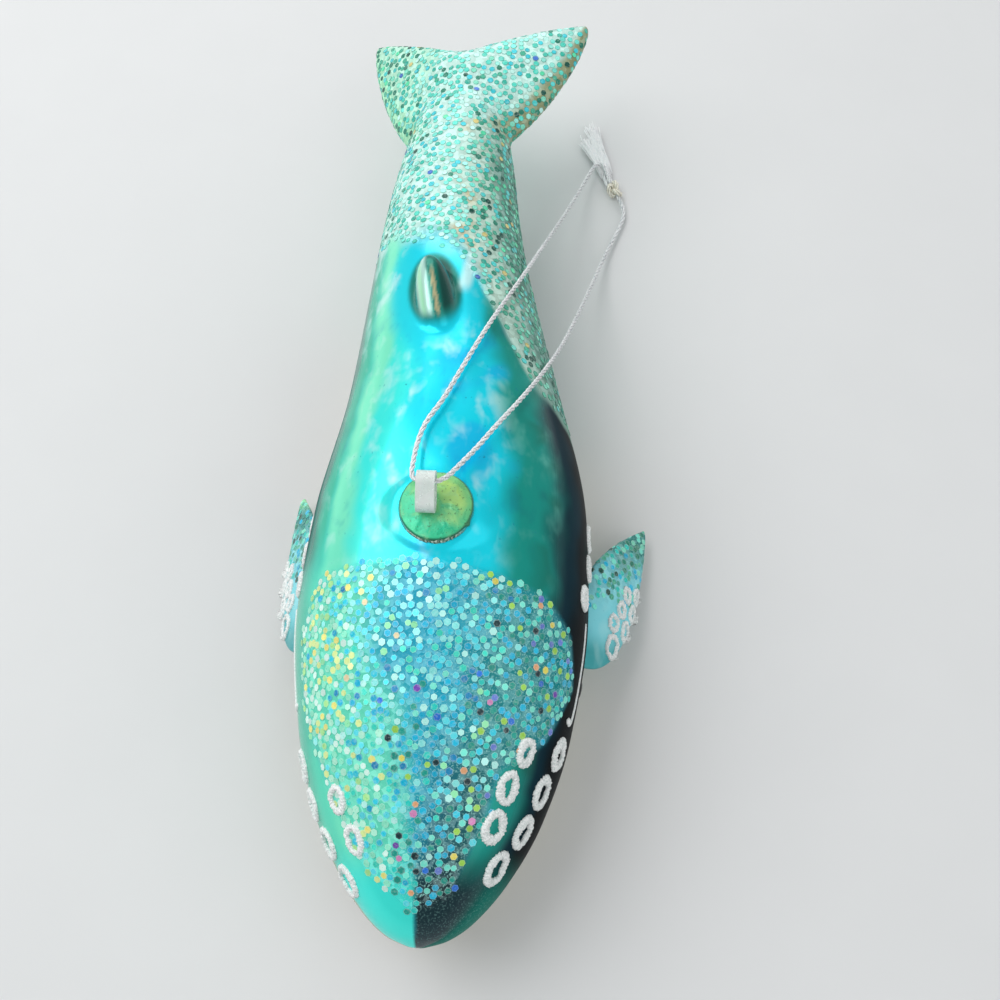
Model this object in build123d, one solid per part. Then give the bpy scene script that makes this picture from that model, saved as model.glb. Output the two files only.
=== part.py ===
from build123d import *
from functools import partial
import math
import os

# A humpback whale in blown glass, made to hang: a hollow silvered body with glued flippers,
# a cap in its neck with a clear loop, and a tied cord through that loop.
# Frame: +Z up, -Y the way the whale looks, +X the whale's own left side.
# The origin is on the belly, under the middle of the cap. Lengths are millimetres, angles degrees.
# A station is a distance from the snout tip; an angle round the hull is 0 at the left side, 90 on the back.

# Glass body
BODY_LENGTH = 142.0
BODY_WIDTH = 41.4
BODY_HEIGHT = 35.0
WALL = 1.0
WIDEST_AT = 0.48
BELLY_SQUARENESS = 2.4
BELLY_FLAT = 0.99
CAP_STATION = 0.376 * BODY_LENGTH

# Lines of the hull: station, half width, belly and back, as shares of the length, width and height.
# A belly below zero is cut off flat at the surface that it rests on.
HULL_LINES = [
    (0.000, 0.040, 0.345, 0.385),
    (0.008, 0.190, 0.262, 0.458),
    (0.026, 0.350, 0.165, 0.545),
    (0.065, 0.560, 0.083, 0.650),
    (0.120, 0.755, 0.026, 0.755),
    (0.200, 0.915, -0.004, 0.872),
    (0.310, 1.000, -0.010, 0.977),
    (0.410, 0.966, -0.010, 1.000),
    (0.550, 0.795, -0.014, 0.940),
    (0.740, 0.577, 0.150, 0.800),
    (0.880, 0.440, 0.300, 0.720),
    (0.950, 0.310, 0.450, 0.684),
    (1.000, 0.080, 0.600, 0.640),
]
SECTIONS, HALF_WIDTHS, BELLIES, BACKS = zip(*HULL_LINES)
BETWEEN_FROM, BETWEEN_TO = 0.1, 0.6
SKIN_TO = 0.6
CAVITY_SHARES = [0.02, 0.05, 0.12, 0.24, 0.4, 0.58, 0.72, 0.86]
CROWN_FROM, CROWN_TO = -20.0, 200.0
CROWN_POINTS = 11
NUDGE = 0.01

# Curl of the tail: it sways to the whale's right and rolls the same way
BEND_FROM = 0.437 * BODY_LENGTH
BEND_TO = 0.831 * BODY_LENGTH
TAIL_SWAY = -4.4
TAIL_ROLL = 13.0

# Throat pleats moulded in the belly
PLEAT_COUNT = 8
PLEAT_DEPTH = 0.7
PLEAT_FROM = 0.021 * BODY_LENGTH
PLEAT_TO = 0.535 * BODY_LENGTH

# Fluke, one blade from tip to tip across the end of the tail stock
FLUKE_PAST_END = 1.0
FLUKE_HALF_SPAN = 19.6
FLUKE_ROOT_CHORD = 22.0
FLUKE_SWEEP = 8.4
FLUKE_TIP_CHORD = 2.0
FLUKE_ROOT_THICK = 6.6
FLUKE_TIP_THICK = 1.8
FLUKE_EDGE = 1.4
FLUKE_DROOP = 6.2
FLUKE_LIFT = 0.3
FLUKE_PITCH = 9.0
FLUKE_YAW = -4.0
FLUKE_LEAD_CURVE = (1.6, 0.71)
FLUKE_TRAIL_CURVE = 1.2
FLUKE_DROOP_CURVE = 1.4
FLUKE_SHARES = [0.0, 0.2, 0.4, 0.6, 0.78, 0.91, 0.98, 1.0]

# Dorsal fin: shares of its height with the share of its length and width left there
FIN_STATION = 0.616 * BODY_LENGTH
FIN_LENGTH = 14.0
FIN_WIDTH = 6.4
FIN_HEIGHT = 4.4
FIN_SWEEP = 3.4
FIN_ROOT_DEPTH = 2.0
FIN_SHARES = [(0.0, 1.0), (0.4, 0.78), (0.75, 0.52), (1.0, 0.2)]

# Flippers, one glued on each side: flare is from straight down, toe turns the tip to the body,
# and reach is how far back the tip ends from the middle of the root
FLIPPER_STATION = 0.3275 * BODY_LENGTH
FLIPPER_ANGLE = -13.0
FLIPPER_SPAN = 12.0
FLIPPER_ROOT_LEAD = -7.0
FLIPPER_ROOT_TRAIL = 6.0
FLIPPER_TIP_CHORD = 3.5
FLIPPER_ROOT_THICK = 2.6
FLIPPER_TIP_THICK = 1.3
FLIPPER_EDGE = 1.0
FLIPPER_DROOP = 1.2
FLIPPER_ROOT_DEPTH = 5.0
FLIPPER_LEAD_CURVE = (2.2, 0.6)
FLIPPER_TRAIL_CURVE = 0.6
FLIPPER_DROOP_CURVE = 2.0
FLIPPER_SHARES = [0.0, 0.25, 0.5, 0.72, 0.88, 0.97, 1.0]
LEFT_FLARE, LEFT_TOE, LEFT_REACH = 50.0, 0.0, 18.3
RIGHT_FLARE, RIGHT_TOE, RIGHT_REACH = 46.0, 6.0, 20.8

# Neck seat and cap
CAP_RADIUS = 4.9
CAP_EDGE = 0.5
CAP_CROWN = 0.9
CAP_FLOOR = 1.0
PLUG_DEPTH = 4.0
PLUG_WALL = 0.7
BORE_RADIUS = 3.0
BORE_DEPTH = 6.0
PLUG_CLEARANCE = 0.1
SEAT_RISE = 0.15
SEAT_MARGIN = 0.15
BEAD_WIDTH = 0.6
BEAD_HEIGHT = 0.45
BEAD_SHOULDER = 0.2

# Clear hanger loop, set off the middle of the cap and leaning back towards the tail
LOOP_SIDE = -1.1
LOOP_BACK = -0.4
LOOP_WIDTH = 2.5
LOOP_STRIP = 0.5
EYE_RADIUS = 0.9
EYE_REACH = 2.8
LOOP_LEAN = 55.0
TANG_THICK = 1.2
TANG_DEPTH = 1.9
TANG_CLEARANCE = 0.1

# Glue line under every piece stuck on the glass
GLUE_LINE = 0.05

# Barnacle rings piped on the glass: angle up from the side, with the station and the ring's length
# as shares of the body's length
LEFT_HEAD_RINGS = [
    (0.1775, 17, 0.0324),
    (0.1408, 22, 0.0338),
    (0.1042, 25, 0.0338),
    (0.0704, 32, 0.0352),
    (0.1690, 42, 0.0282),
    (0.1366, 47, 0.0324),
    (0.1028, 48, 0.0338),
]
RIGHT_HEAD_RINGS = [
    (0.1549, 13, 0.0324),
    (0.1197, 16, 0.0310),
    (0.0845, 22, 0.0324),
    (0.0521, 28, 0.0338),
    (0.1183, 46, 0.0282),
    (0.0845, 52, 0.0296),
]
FLANK_RINGS = [(0.4014, 2, 0.0296), (0.3662, 6, 0.0282), (0.3282, 15, 0.0268)]
RING_ASPECT = 0.96
RING_STROKE = 1.2
RING_RISE = 0.5
RING_SINK = 0.9
RING_PLATES = 8

# Smaller rings on the flippers: share of the span, distance behind the leading edge, and length
FLIPPER_RINGS = [
    (0.41, 2.3, 3.9),
    (0.64, 1.9, 3.2),
    (0.77, 1.9, 2.9),
    (0.84, 2.6, 2.6),
    (0.40, 6.0, 3.0),
    (0.54, 6.7, 2.8),
    (0.64, 7.6, 2.7),
]
FLIPPER_RING_STROKE = 0.75
FLIPPER_RING_RISE = 0.45
FLIPPER_RING_GLUE = 0.12
FLIPPER_RING_PLATES = 6

# Thin line piped along each side, hooked at its front: share of the body's length, angle up from the side
THROAT_LINE = [
    (0.3056, 11),
    (0.2718, 10),
    (0.2394, 9),
    (0.2155, 10),
    (0.2042, 13),
    (0.2007, 17),
    (0.2085, 20),
]
LINE_RADIUS = 0.32
LINE_SIDES = 5

# Enamel eyes
EYE_STATION = 0.2535 * BODY_LENGTH
EYE_ANGLE = -9.0
EYE_DOT_RADIUS = 1.3
EYE_DOT_RISE = 0.5
EYE_DOT_TOP = 0.6
EYE_DOT_SIDES = 12

# Cord, knot and frayed tails
CORD_DIAMETER = 0.75
CORD_SIDES = 5
ARC_SHARE = 0.45
ROUTE = [
    (22.65, 77.8, 1.1),
    (23.6, 76.2, 0.9),
    (24.1, 73.5, 0.8),
    (23.1, 70.2, 0.8),
    (21.0, 64.8, 1.2),
    (19.6, 59.3, 3.0),
    (18.2, 52.6, 6.6),
    (16.6, 44.4, 12.0),
    (14.9, 35.6, 18.2),
    (12.7, 26.6, 25.6),
    (10.3, 19.2, 31.2),
    (7.0, 12.6, 34.6),
    (5.0, 8.7, 36.0),
    (3.1, 5.4, 37.4),
    (1.2, 2.1, 38.85),
    (-1.0, 1.75, 39.0),
    (-3.15, 2.1, 38.85),
    (-3.35, 5.6, 37.2),
    (-3.2, 9.3, 36.0),
    (-2.4, 12.6, 35.5),
    (-0.6, 15.7, 35.2),
    (1.5, 21.2, 34.5),
    (3.5, 27.0, 33.1),
    (5.4, 33.0, 30.7),
    (8.2, 43.4, 24.4),
    (10.5, 55.4, 15.6),
    (13.2, 66.2, 8.8),
    (15.6, 75.0, 4.6),
    (17.2, 80.4, 2.7),
    (18.1, 82.9, 2.1),
    (18.8, 84.1, 1.9),
    (20.0, 84.0, 1.8),
    (20.8, 81.8, 1.75),
    (21.4, 79.9, 1.7),
]
KNOT_FROM = (22.85, 77.45, 1.4)
KNOT_TO = (21.35, 80.15, 1.4)
KNOT_SIDES = 8
KNOT_BULGES = [(0.0, 0.75), (0.14, 1.02), (0.34, 1.08), (0.5, 0.86), (0.66, 1.08), (0.86, 1.02), (1.0, 0.75)]
TAIL_ROUTES = [
    [(21.75, 80.0, 0.95), (20.6, 83.4, 0.75), (19.1, 88.0, 0.75)],
    [(20.95, 79.7, 0.95), (19.4, 83.6, 0.75), (17.2, 87.3, 0.75)],
]
TAIL_FRAY = [6.0, 3.4]
FRAY_SPREAD = 1.9


def line_slope(values, row):
    """Slope of one hull line at a section: level at a peak, the harmonic mean of its sides elsewhere."""
    last = len(SECTIONS) - 1
    sides = []
    for first in (max(row - 1, 0), min(row, last - 1)):
        sides.append((values[first + 1] - values[first]) / (SECTIONS[first + 1] - SECTIONS[first]))
    before, after = sides
    return 0.0 if before * after <= 0 else 2 * before * after / (before + after)


def hull_line(values, station):
    """Share that one smooth hull line has at a station."""
    share = min(max(station / BODY_LENGTH, 0.0), 1.0)
    row = max(i for i in range(len(SECTIONS) - 1) if SECTIONS[i] <= share)
    reach = SECTIONS[row + 1] - SECTIONS[row]
    t = (share - SECTIONS[row]) / reach
    leave = line_slope(values, row) * reach
    arrive = line_slope(values, row + 1) * reach
    rise = values[row] * (1 + 2 * t) * (1 - t) ** 2 + leave * t * (1 - t) ** 2
    return rise + values[row + 1] * t * t * (3 - 2 * t) - arrive * t * t * (1 - t)


def bend(station):
    """How far the tail's curl has gone at a station, from 0 to 1."""
    t = min(max((station - BEND_FROM) / (BEND_TO - BEND_FROM), 0.0), 1.0)
    return t * t * (3 - 2 * t)


def hull_levels(station, inset=0.0):
    """Heights of the belly, of the widest place and of the back at a station."""
    low = hull_line(BELLIES, station) * BODY_HEIGHT + inset
    high = hull_line(BACKS, station) * BODY_HEIGHT - inset
    return low, low + WIDEST_AT * (high - low), high


def hull_point(station, angle, inset=0.0):
    """Point of the hull at a station and an angle round it, moved inwards by the inset."""
    half = hull_line(HALF_WIDTHS, station) * BODY_WIDTH / 2 - inset
    low, middle, high = hull_levels(station, inset)
    side = math.cos(math.radians(angle))
    up = math.sin(math.radians(angle))
    power = 1.0 if up >= 0 else 2 / BELLY_SQUARENESS
    x = half * math.copysign(abs(side) ** power, side)
    below = min(abs(up) ** power / BELLY_FLAT, 1.0)
    z = (high - middle) * up if up >= 0 else (low - middle) * below
    roll = math.radians(TAIL_ROLL * bend(station))
    return Vector(
        TAIL_SWAY * bend(station) + x * math.cos(roll) - z * math.sin(roll),
        station - CAP_STATION,
        middle + x * math.sin(roll) + z * math.cos(roll),
    )


def surface_plane(point, first, second):
    """Plane on a surface given by point(first, second), its X along first and its Z outwards."""
    along = point(first + NUDGE, second) - point(first - NUDGE, second)
    across = point(first, second + NUDGE) - point(first, second - NUDGE)
    return Plane(origin=point(first, second), x_dir=along, z_dir=along.cross(across))


def pleat_depth(station):
    """Depth of the throat pleats, which fade out at both ends."""
    t = (station - PLEAT_FROM) / (PLEAT_TO - PLEAT_FROM)
    return PLEAT_DEPTH * math.sin(math.pi * t) if 0 < t < 1 else 0.0


def crown(station, inset):
    """Smooth curve over the back, from one edge of the pleats to the other."""
    step = (CROWN_TO - CROWN_FROM) / (CROWN_POINTS - 1)
    angles = [CROWN_FROM + step * i for i in range(CROWN_POINTS)]
    return Spline(*[hull_point(station, a, inset) for a in angles])


def pleats(station, inset):
    """Row of outward arcs under the throat, meeting in grooves, one of them on the centre line."""
    step = (360 + CROWN_FROM - CROWN_TO) / PLEAT_COUNT
    arcs = []
    for i in range(PLEAT_COUNT):
        left_in = 0.0 if i == 0 else pleat_depth(station)
        right_in = 0.0 if i == PLEAT_COUNT - 1 else pleat_depth(station)
        start = hull_point(station, CROWN_TO + step * i, inset + left_in)
        top = hull_point(station, CROWN_TO + step * (i + 0.5), inset)
        end = hull_point(station, CROWN_TO + step * (i + 1), inset + right_in)
        arcs.append(ThreePointArc(start, top, end))
    return arcs


def hull_stations(last=1.0):
    """Stations of the hull's sections up to a share of its length, closer where things are stuck on."""
    halfway = [(a + b) / 2 for a, b in zip(SECTIONS, SECTIONS[1:]) if BETWEEN_FROM < a < BETWEEN_TO]
    return [share * BODY_LENGTH for share in sorted([*SECTIONS, *halfway]) if share <= last]


def hull_solid(inset=0.0):
    """Outer hull with its pleats, from the snout to the end of the tail stock."""
    return loft([Face(Wire([crown(s, inset), *pleats(s, inset)])) for s in hull_stations()])


def back_skin():
    """Head and back without the belly, raised by the glue line, to trim what is piped on them."""
    faces = []
    for station in hull_stations(SKIN_TO):
        back = crown(station, -GLUE_LINE)
        faces.append(Face(Wire([back, Line(back @ 1, back @ 0)])))
    return loft(faces)


def cavity():
    """Inside of the bubble: a plain section, clear of the pleats by the wall."""
    faces = []
    for share in CAVITY_SHARES:
        station = share * BODY_LENGTH
        inset = WALL + pleat_depth(station)
        ring = [hull_point(station, 360 * i / CROWN_POINTS, inset) for i in range(CROWN_POINTS)]
        faces.append(Face(Wire([Spline(*ring, periodic=True)])))
    return loft(faces)


def blade(sections, edge):
    """Leaf with blunt edges: sections have a place across, leading and trailing edge, thickness and lift."""
    faces = []
    for across, lead, trail, thick, lift in sections:
        middle = (lead + trail) / 2
        top = ThreePointArc((lead, edge / 2), (middle, thick / 2), (trail, edge / 2))
        under = ThreePointArc((trail, -edge / 2), (middle, -thick / 2), (lead, -edge / 2))
        outline = Wire([top, Line(top @ 1, under @ 0), under, Line(under @ 1, top @ 0)])
        plane = Plane(origin=(across, 0, lift), x_dir=(0, 1, 0), z_dir=(1, 0, 0))
        faces.append(plane * Face(outline))
    return loft(faces)


def swell_in(share, curve):
    """Rounded leading edge: how far it has run back at a share of the span, from 0 to 1."""
    first, second = curve
    return 1 - (1 - share**first) ** second


def fluke():
    """Swept fluke with drooping lobes, set on the rolled end of the tail."""
    sections = []
    for share in [-s for s in reversed(FLUKE_SHARES[1:])] + FLUKE_SHARES:
        t = abs(share)
        trail = FLUKE_SWEEP * (1 - (1 - t) ** FLUKE_TRAIL_CURVE)
        tip_lead = FLUKE_SWEEP - FLUKE_TIP_CHORD
        lead = -FLUKE_ROOT_CHORD + (FLUKE_ROOT_CHORD + tip_lead) * swell_in(t, FLUKE_LEAD_CURVE)
        thick = FLUKE_ROOT_THICK + (FLUKE_TIP_THICK - FLUKE_ROOT_THICK) * t
        sections.append((share * FLUKE_HALF_SPAN, lead, trail, thick, -FLUKE_DROOP * t**FLUKE_DROOP_CURVE))
    low, middle, high = hull_levels(BODY_LENGTH)
    place = Pos(TAIL_SWAY, BODY_LENGTH + FLUKE_PAST_END - CAP_STATION, middle + FLUKE_LIFT)
    return place * Rot(Z=FLUKE_YAW) * Rot(Y=-TAIL_ROLL) * Rot(X=FLUKE_PITCH) * blade(sections, FLUKE_EDGE)


def dorsal_fin():
    """Low swept fin on the rolled back, steep on its tail side."""
    base = surface_plane(hull_point, FIN_STATION, 90.0)
    ovals = []
    for height, left in [(-FIN_ROOT_DEPTH / FIN_HEIGHT, 1.0), *FIN_SHARES]:
        spot = Plane(origin=base.from_local_coords((FIN_SWEEP * height, 0, FIN_HEIGHT * height)),
                     x_dir=base.x_dir, z_dir=base.z_dir)
        ovals.append(spot * Ellipse(FIN_LENGTH / 2 * left, FIN_WIDTH / 2 * left))
    return loft(ovals)


def seat_height():
    """Level of the flat seat round the neck."""
    return hull_point(CAP_STATION, 90.0).Z + SEAT_RISE


def glass_body(hull):
    """The blown bubble: hull cut flat where it rests, fluke, fin and neck seat, with its cavity and bore."""
    below_rest = Pos(0, 0, -BODY_HEIGHT / 2) * Box(2 * BODY_WIDTH, 2 * BODY_LENGTH, BODY_HEIGHT)
    top = Pos(0, 0, seat_height() - BORE_DEPTH / 2)
    seat = top * Cylinder(CAP_RADIUS + BEAD_WIDTH + SEAT_MARGIN, BORE_DEPTH)
    bore = top * Cylinder(BORE_RADIUS, BORE_DEPTH)
    return hull - below_rest + fluke() + dorsal_fin() + seat - cavity() - bore


def flipper_edges(share, reach):
    """Leading and trailing edge of a flipper at a share of its span."""
    tip_lead = reach - FLIPPER_TIP_CHORD
    lead = FLIPPER_ROOT_LEAD + (tip_lead - FLIPPER_ROOT_LEAD) * swell_in(share, FLIPPER_LEAD_CURVE)
    trail = FLIPPER_ROOT_TRAIL + (reach - FLIPPER_ROOT_TRAIL) * share**FLIPPER_TRAIL_CURVE
    return lead, trail


def flipper_thick(share):
    """Thickness of a flipper at a share of its span."""
    return FLIPPER_ROOT_THICK + (FLIPPER_TIP_THICK - FLIPPER_ROOT_THICK) * share


def flipper_blade(reach):
    """Flipper leaf in its own frame: span along X from the glass, chord along Y."""
    sections = [(-FLIPPER_ROOT_DEPTH, *flipper_edges(0.0, reach), flipper_thick(0.0), 0.0)]
    for share in FLIPPER_SHARES:
        lift = -FLIPPER_DROOP * share**FLIPPER_DROOP_CURVE
        sections.append((share * FLIPPER_SPAN, *flipper_edges(share, reach), flipper_thick(share), lift))
    return blade(sections, FLIPPER_EDGE)


def flipper_point(reach, across, behind):
    """Point on a flipper's outer face, by place across the span and distance behind the leading edge."""
    share = across / FLIPPER_SPAN
    lead, trail = flipper_edges(share, reach)
    along = 2 * behind / (trail - lead) - 1
    swell = FLIPPER_EDGE / 2 + (flipper_thick(share) - FLIPPER_EDGE) / 2 * (1 - along**2)
    return Vector(across, lead + behind, swell - FLIPPER_DROOP * share**FLIPPER_DROOP_CURVE)


def flipper_place(flare, toe):
    """Where a flipper's own frame stands on the left side of the hull."""
    root = hull_point(FLIPPER_STATION, FLIPPER_ANGLE)
    return Location(root) * Rot(Z=toe) * Rot(Y=90 - flare)


def ring(plane, length, stroke, rise, sink, plates):
    """Barnacle ring of flat plates, standing on a surface and let into it for trimming."""
    sketches = []
    for inset in (0.0, stroke):
        turns = [2 * math.pi * (i + 0.5) / plates for i in range(plates)]
        long, short = length / 2 - inset, length * RING_ASPECT / 2 - inset
        sketches.append(Polygon(*[(long * math.cos(a), short * math.sin(a)) for a in turns], align=None))
    outer, inner = sketches
    return extrude(plane.offset(-sink) * (outer - inner), amount=sink + rise)


def trimmed(shapes, surface):
    """What is left of the shapes outside a surface."""
    return (Compound(children=[shape.solid() for shape in shapes]) - surface).solids()


def hull_rings(rings, skin):
    """Rings on the left side of the hull, trimmed to its skin."""
    shapes = []
    for place, angle, length in rings:
        plane = surface_plane(hull_point, place * BODY_LENGTH, float(angle))
        shapes.append(ring(plane, length * BODY_LENGTH, RING_STROKE, RING_RISE, RING_SINK, RING_PLATES))
    return trimmed(shapes, skin)


def flipper_rings(reach):
    """Rings on a flipper's nearly flat outer face, in the flipper's own frame."""
    shapes = []
    for share, behind, length in FLIPPER_RINGS:
        plane = surface_plane(partial(flipper_point, reach), share * FLIPPER_SPAN, behind)
        shapes.append(ring(plane, length, FLIPPER_RING_STROKE, FLIPPER_RING_RISE,
                           -FLIPPER_RING_GLUE, FLIPPER_RING_PLATES))
    return shapes


def rounded_path(points):
    """Straight runs joined by the largest tangent arcs that the runs leave room for, and the radii."""
    spots = [Vector(*p) for p in points]
    radii = []
    for before, here, after in zip(spots, spots[1:], spots[2:]):
        turn = math.radians((here - before).get_angle(after - here))
        shorter = min((here - before).length, (after - here).length)
        radii.append(ARC_SHARE * shorter / math.tan(turn / 2))
    return FilletPolyline(*spots, radius=radii), radii


def swept(points, section):
    """A section carried along a rounded path."""
    path, radii = rounded_path(points)
    return sweep(Plane(origin=path @ 0, z_dir=path % 0) * section, path=path), path, radii


def throat_line(skin):
    """Piped line along the left side, trimmed to the skin."""
    points = [hull_point(place * BODY_LENGTH, float(angle)) for place, angle in THROAT_LINE]
    bead, path, radii = swept(points, RegularPolygon(LINE_RADIUS, LINE_SIDES))
    return bead - skin


def eye_dot(skin):
    """Low enamel button on the left side of the head, with a sloping rim."""
    plane = surface_plane(hull_point, EYE_STATION, EYE_ANGLE)
    rings = [(-EYE_DOT_RISE, 1.0), (EYE_DOT_RISE / 2, 1.0), (EYE_DOT_RISE, EYE_DOT_TOP)]
    ovals = []
    for rise, share in rings:
        ovals.append(plane.offset(rise) * RegularPolygon(EYE_DOT_RADIUS * share, EYE_DOT_SIDES))
    return loft(ovals, ruled=True) - skin


def cap():
    """Crowned disc with a cup-shaped plug, slotted for the tang of the hanger loop."""
    plug = BORE_RADIUS - PLUG_CLEARANCE
    edge = math.hypot(CAP_RADIUS, CAP_CROWN - CAP_EDGE) / 2
    ball = edge**2 * 2 / (CAP_CROWN - CAP_EDGE)
    half = CAP_RADIUS / 2
    shoulder = CAP_CROWN - (ball - math.sqrt(ball**2 - half**2))
    crown_arc = ThreePointArc((0, 0, CAP_CROWN), (half, 0, shoulder), (CAP_RADIUS, 0, CAP_EDGE))
    under = Polyline(
        (CAP_RADIUS, 0, CAP_EDGE),
        (CAP_RADIUS, 0, 0),
        (plug, 0, 0),
        (plug, 0, -PLUG_DEPTH),
        (plug - PLUG_WALL, 0, -PLUG_DEPTH),
        (plug - PLUG_WALL, 0, -CAP_FLOOR),
        (0, 0, -CAP_FLOOR),
        (0, 0, CAP_CROWN),
    )
    turned = revolve(Face(Wire([crown_arc, *under.edges()])), axis=Axis.Z)
    depth = TANG_DEPTH + TANG_CLEARANCE
    slot = Box(LOOP_WIDTH + 2 * TANG_CLEARANCE, TANG_THICK + 2 * TANG_CLEARANCE, 2 * depth)
    return Pos(0, 0, seat_height()) * (turned - Pos(LOOP_SIDE, LOOP_BACK) * slot)


def cap_bead():
    """Bead of glue round the rim of the cap."""
    inner = CAP_RADIUS + GLUE_LINE
    outer = CAP_RADIUS + BEAD_WIDTH
    outline = Polyline((inner, 0, 0), (outer, 0, 0), (outer - BEAD_SHOULDER, 0, BEAD_HEIGHT - BEAD_SHOULDER),
                       (inner, 0, BEAD_HEIGHT), close=True)
    return Pos(0, 0, seat_height()) * revolve(Face(Wire(outline.edges())), axis=Axis.Z)


def loop_base():
    """Height of the lower bend of the hanger loop, which stands on the cap."""
    return seat_height() + CAP_CROWN + EYE_RADIUS + LOOP_STRIP


def hanger_eye():
    """Middle of the far bend of the hanger loop, where the cord runs."""
    lean = math.radians(LOOP_LEAN)
    return Vector(LOOP_SIDE, LOOP_BACK + EYE_REACH * math.sin(lean), loop_base() + EYE_REACH * math.cos(lean))


def hanger_loop():
    """Clear link on a tang, cut from one strip as wide as the link."""
    eye = hanger_eye()
    middle = Pos((LOOP_BACK + eye.Y) / 2, (loop_base() + eye.Z) / 2) * Rot(Z=90 - LOOP_LEAN)
    link = middle * SlotCenterToCenter(EYE_REACH, 2 * (EYE_RADIUS + LOOP_STRIP))
    opening = middle * SlotCenterToCenter(EYE_REACH, 2 * EYE_RADIUS)
    top = loop_base() - EYE_RADIUS
    bottom = seat_height() - TANG_DEPTH
    tang = Pos(LOOP_BACK, (top + bottom) / 2) * Rectangle(TANG_THICK, top - bottom)
    return extrude(Plane.YZ.offset(LOOP_SIDE) * (link + tang - opening), amount=LOOP_WIDTH / 2, both=True)


def cord_section():
    """Faceted section of the cord, as large as its round one."""
    corner = math.sqrt(math.pi / (CORD_SIDES / 2 * math.sin(2 * math.pi / CORD_SIDES)))
    return RegularPolygon(CORD_DIAMETER / 2 * corner, CORD_SIDES)


def cord_loop():
    """Cord from the knot, over the back, through the hanger loop and back to the knot."""
    section = cord_section()
    tube, path, radii = swept(ROUTE, section)
    print("cord radii", [round(r, 2) for r in radii])
    ideal = section.area * path.length
    print(f"cord length {path.length:.1f}, volume {tube.volume:.3f}, section times length {ideal:.3f}")
    return tube


def cord_knot():
    """Knot of two turns, lying on the surface under the whale."""
    start, end = Vector(*KNOT_FROM), Vector(*KNOT_TO)
    root = Plane(origin=start, x_dir=(0, 0, 1), z_dir=end - start)
    reach = (end - start).length
    rings = [root.offset(reach * share) * RegularPolygon(radius, KNOT_SIDES) for share, radius in KNOT_BULGES]
    return loft(rings, ruled=True)


def cord_tails():
    """Two cut ends past the knot, each opening into a flat frayed brush."""
    shapes = []
    for points, fray in zip(TAIL_ROUTES, TAIL_FRAY):
        strand, path, radii = swept(points, cord_section())
        tip = strand.faces().sort_by_distance(path @ 1)[0]
        spread = scale(tip, by=(FRAY_SPREAD, FRAY_SPREAD, 1.0))
        brush = loft([tip, Location((path % 1) * fray - (spread.center() - tip.center())) * spread])
        shapes.append(strand + brush)
    return shapes


def to_right(shapes):
    """The same shapes on the whale's right side."""
    return [mirror(shape, about=Plane.YZ) for shape in shapes]


def build():
    """All nodes by name, each as a list of solids."""
    hull = hull_solid()
    raised = hull_solid(-GLUE_LINE)
    skin = back_skin()
    left_place = flipper_place(LEFT_FLARE, LEFT_TOE)
    right_place = flipper_place(RIGHT_FLARE, RIGHT_TOE)
    flank_rings = hull_rings(FLANK_RINGS, skin)
    line = throat_line(skin)
    eye = eye_dot(skin)
    return {
        "glass_body": [glass_body(hull)],
        "left_flipper": [left_place * flipper_blade(LEFT_REACH) - raised],
        "right_flipper": to_right([right_place * flipper_blade(RIGHT_REACH) - raised]),
        "cap": [cap()],
        "cap_bead": [cap_bead()],
        "hanger_loop": [hanger_loop()],
        "left_head_barnacles": hull_rings(LEFT_HEAD_RINGS, skin),
        "right_head_barnacles": to_right(hull_rings(RIGHT_HEAD_RINGS, skin)),
        "left_flank_barnacles": flank_rings,
        "right_flank_barnacles": to_right(flank_rings),
        "left_flipper_barnacles": [left_place * shape for shape in flipper_rings(LEFT_REACH)],
        "right_flipper_barnacles": to_right([right_place * shape for shape in flipper_rings(RIGHT_REACH)]),
        "left_throat_line": [line],
        "right_throat_line": to_right([line]),
        "left_eye": [eye],
        "right_eye": to_right([eye]),
        "cord_loop": [cord_loop()],
        "cord_knot": [cord_knot()],
        "cord_tails": cord_tails(),
    }


os.makedirs("parts", exist_ok=True)
for node, shapes in build().items():
    solids = [solid for shape in shapes for solid in shape.solids()]
    export_step(Compound(children=solids) if len(solids) > 1 else solids[0], f"parts/{node}.step")
    print(node, len(solids), "solids", round(sum(solid.volume for solid in solids), 2), "mm3")
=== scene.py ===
import bmesh
import bpy
import math
import random
import numpy as np
from mathutils import Matrix, Quaternion, Vector, noise
from mathutils.bvhtree import BVHTree


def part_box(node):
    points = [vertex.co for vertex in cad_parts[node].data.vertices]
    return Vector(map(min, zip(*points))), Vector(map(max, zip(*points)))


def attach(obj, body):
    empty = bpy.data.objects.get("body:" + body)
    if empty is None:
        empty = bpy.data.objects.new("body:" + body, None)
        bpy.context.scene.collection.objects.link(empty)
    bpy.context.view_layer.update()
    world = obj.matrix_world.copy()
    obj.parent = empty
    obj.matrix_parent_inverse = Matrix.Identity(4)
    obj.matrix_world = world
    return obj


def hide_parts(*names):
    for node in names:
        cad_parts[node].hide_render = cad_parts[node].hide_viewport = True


# A humpback whale in blown glass: lacquer over silver, piped barnacle rings, glitter and a tied cord.
# Sizes are millimetres and angles degrees; meshes are in metres.
# A station is a distance from the snout tip; an angle round the hull is 0 at the left side, 90 on the back.
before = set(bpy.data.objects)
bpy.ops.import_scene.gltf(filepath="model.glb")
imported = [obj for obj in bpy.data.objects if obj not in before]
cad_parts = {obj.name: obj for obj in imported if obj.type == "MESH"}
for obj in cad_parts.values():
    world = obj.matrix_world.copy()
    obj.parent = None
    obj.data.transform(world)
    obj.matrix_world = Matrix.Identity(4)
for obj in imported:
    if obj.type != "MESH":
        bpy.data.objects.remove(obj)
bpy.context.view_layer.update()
MM = 0.001
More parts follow.
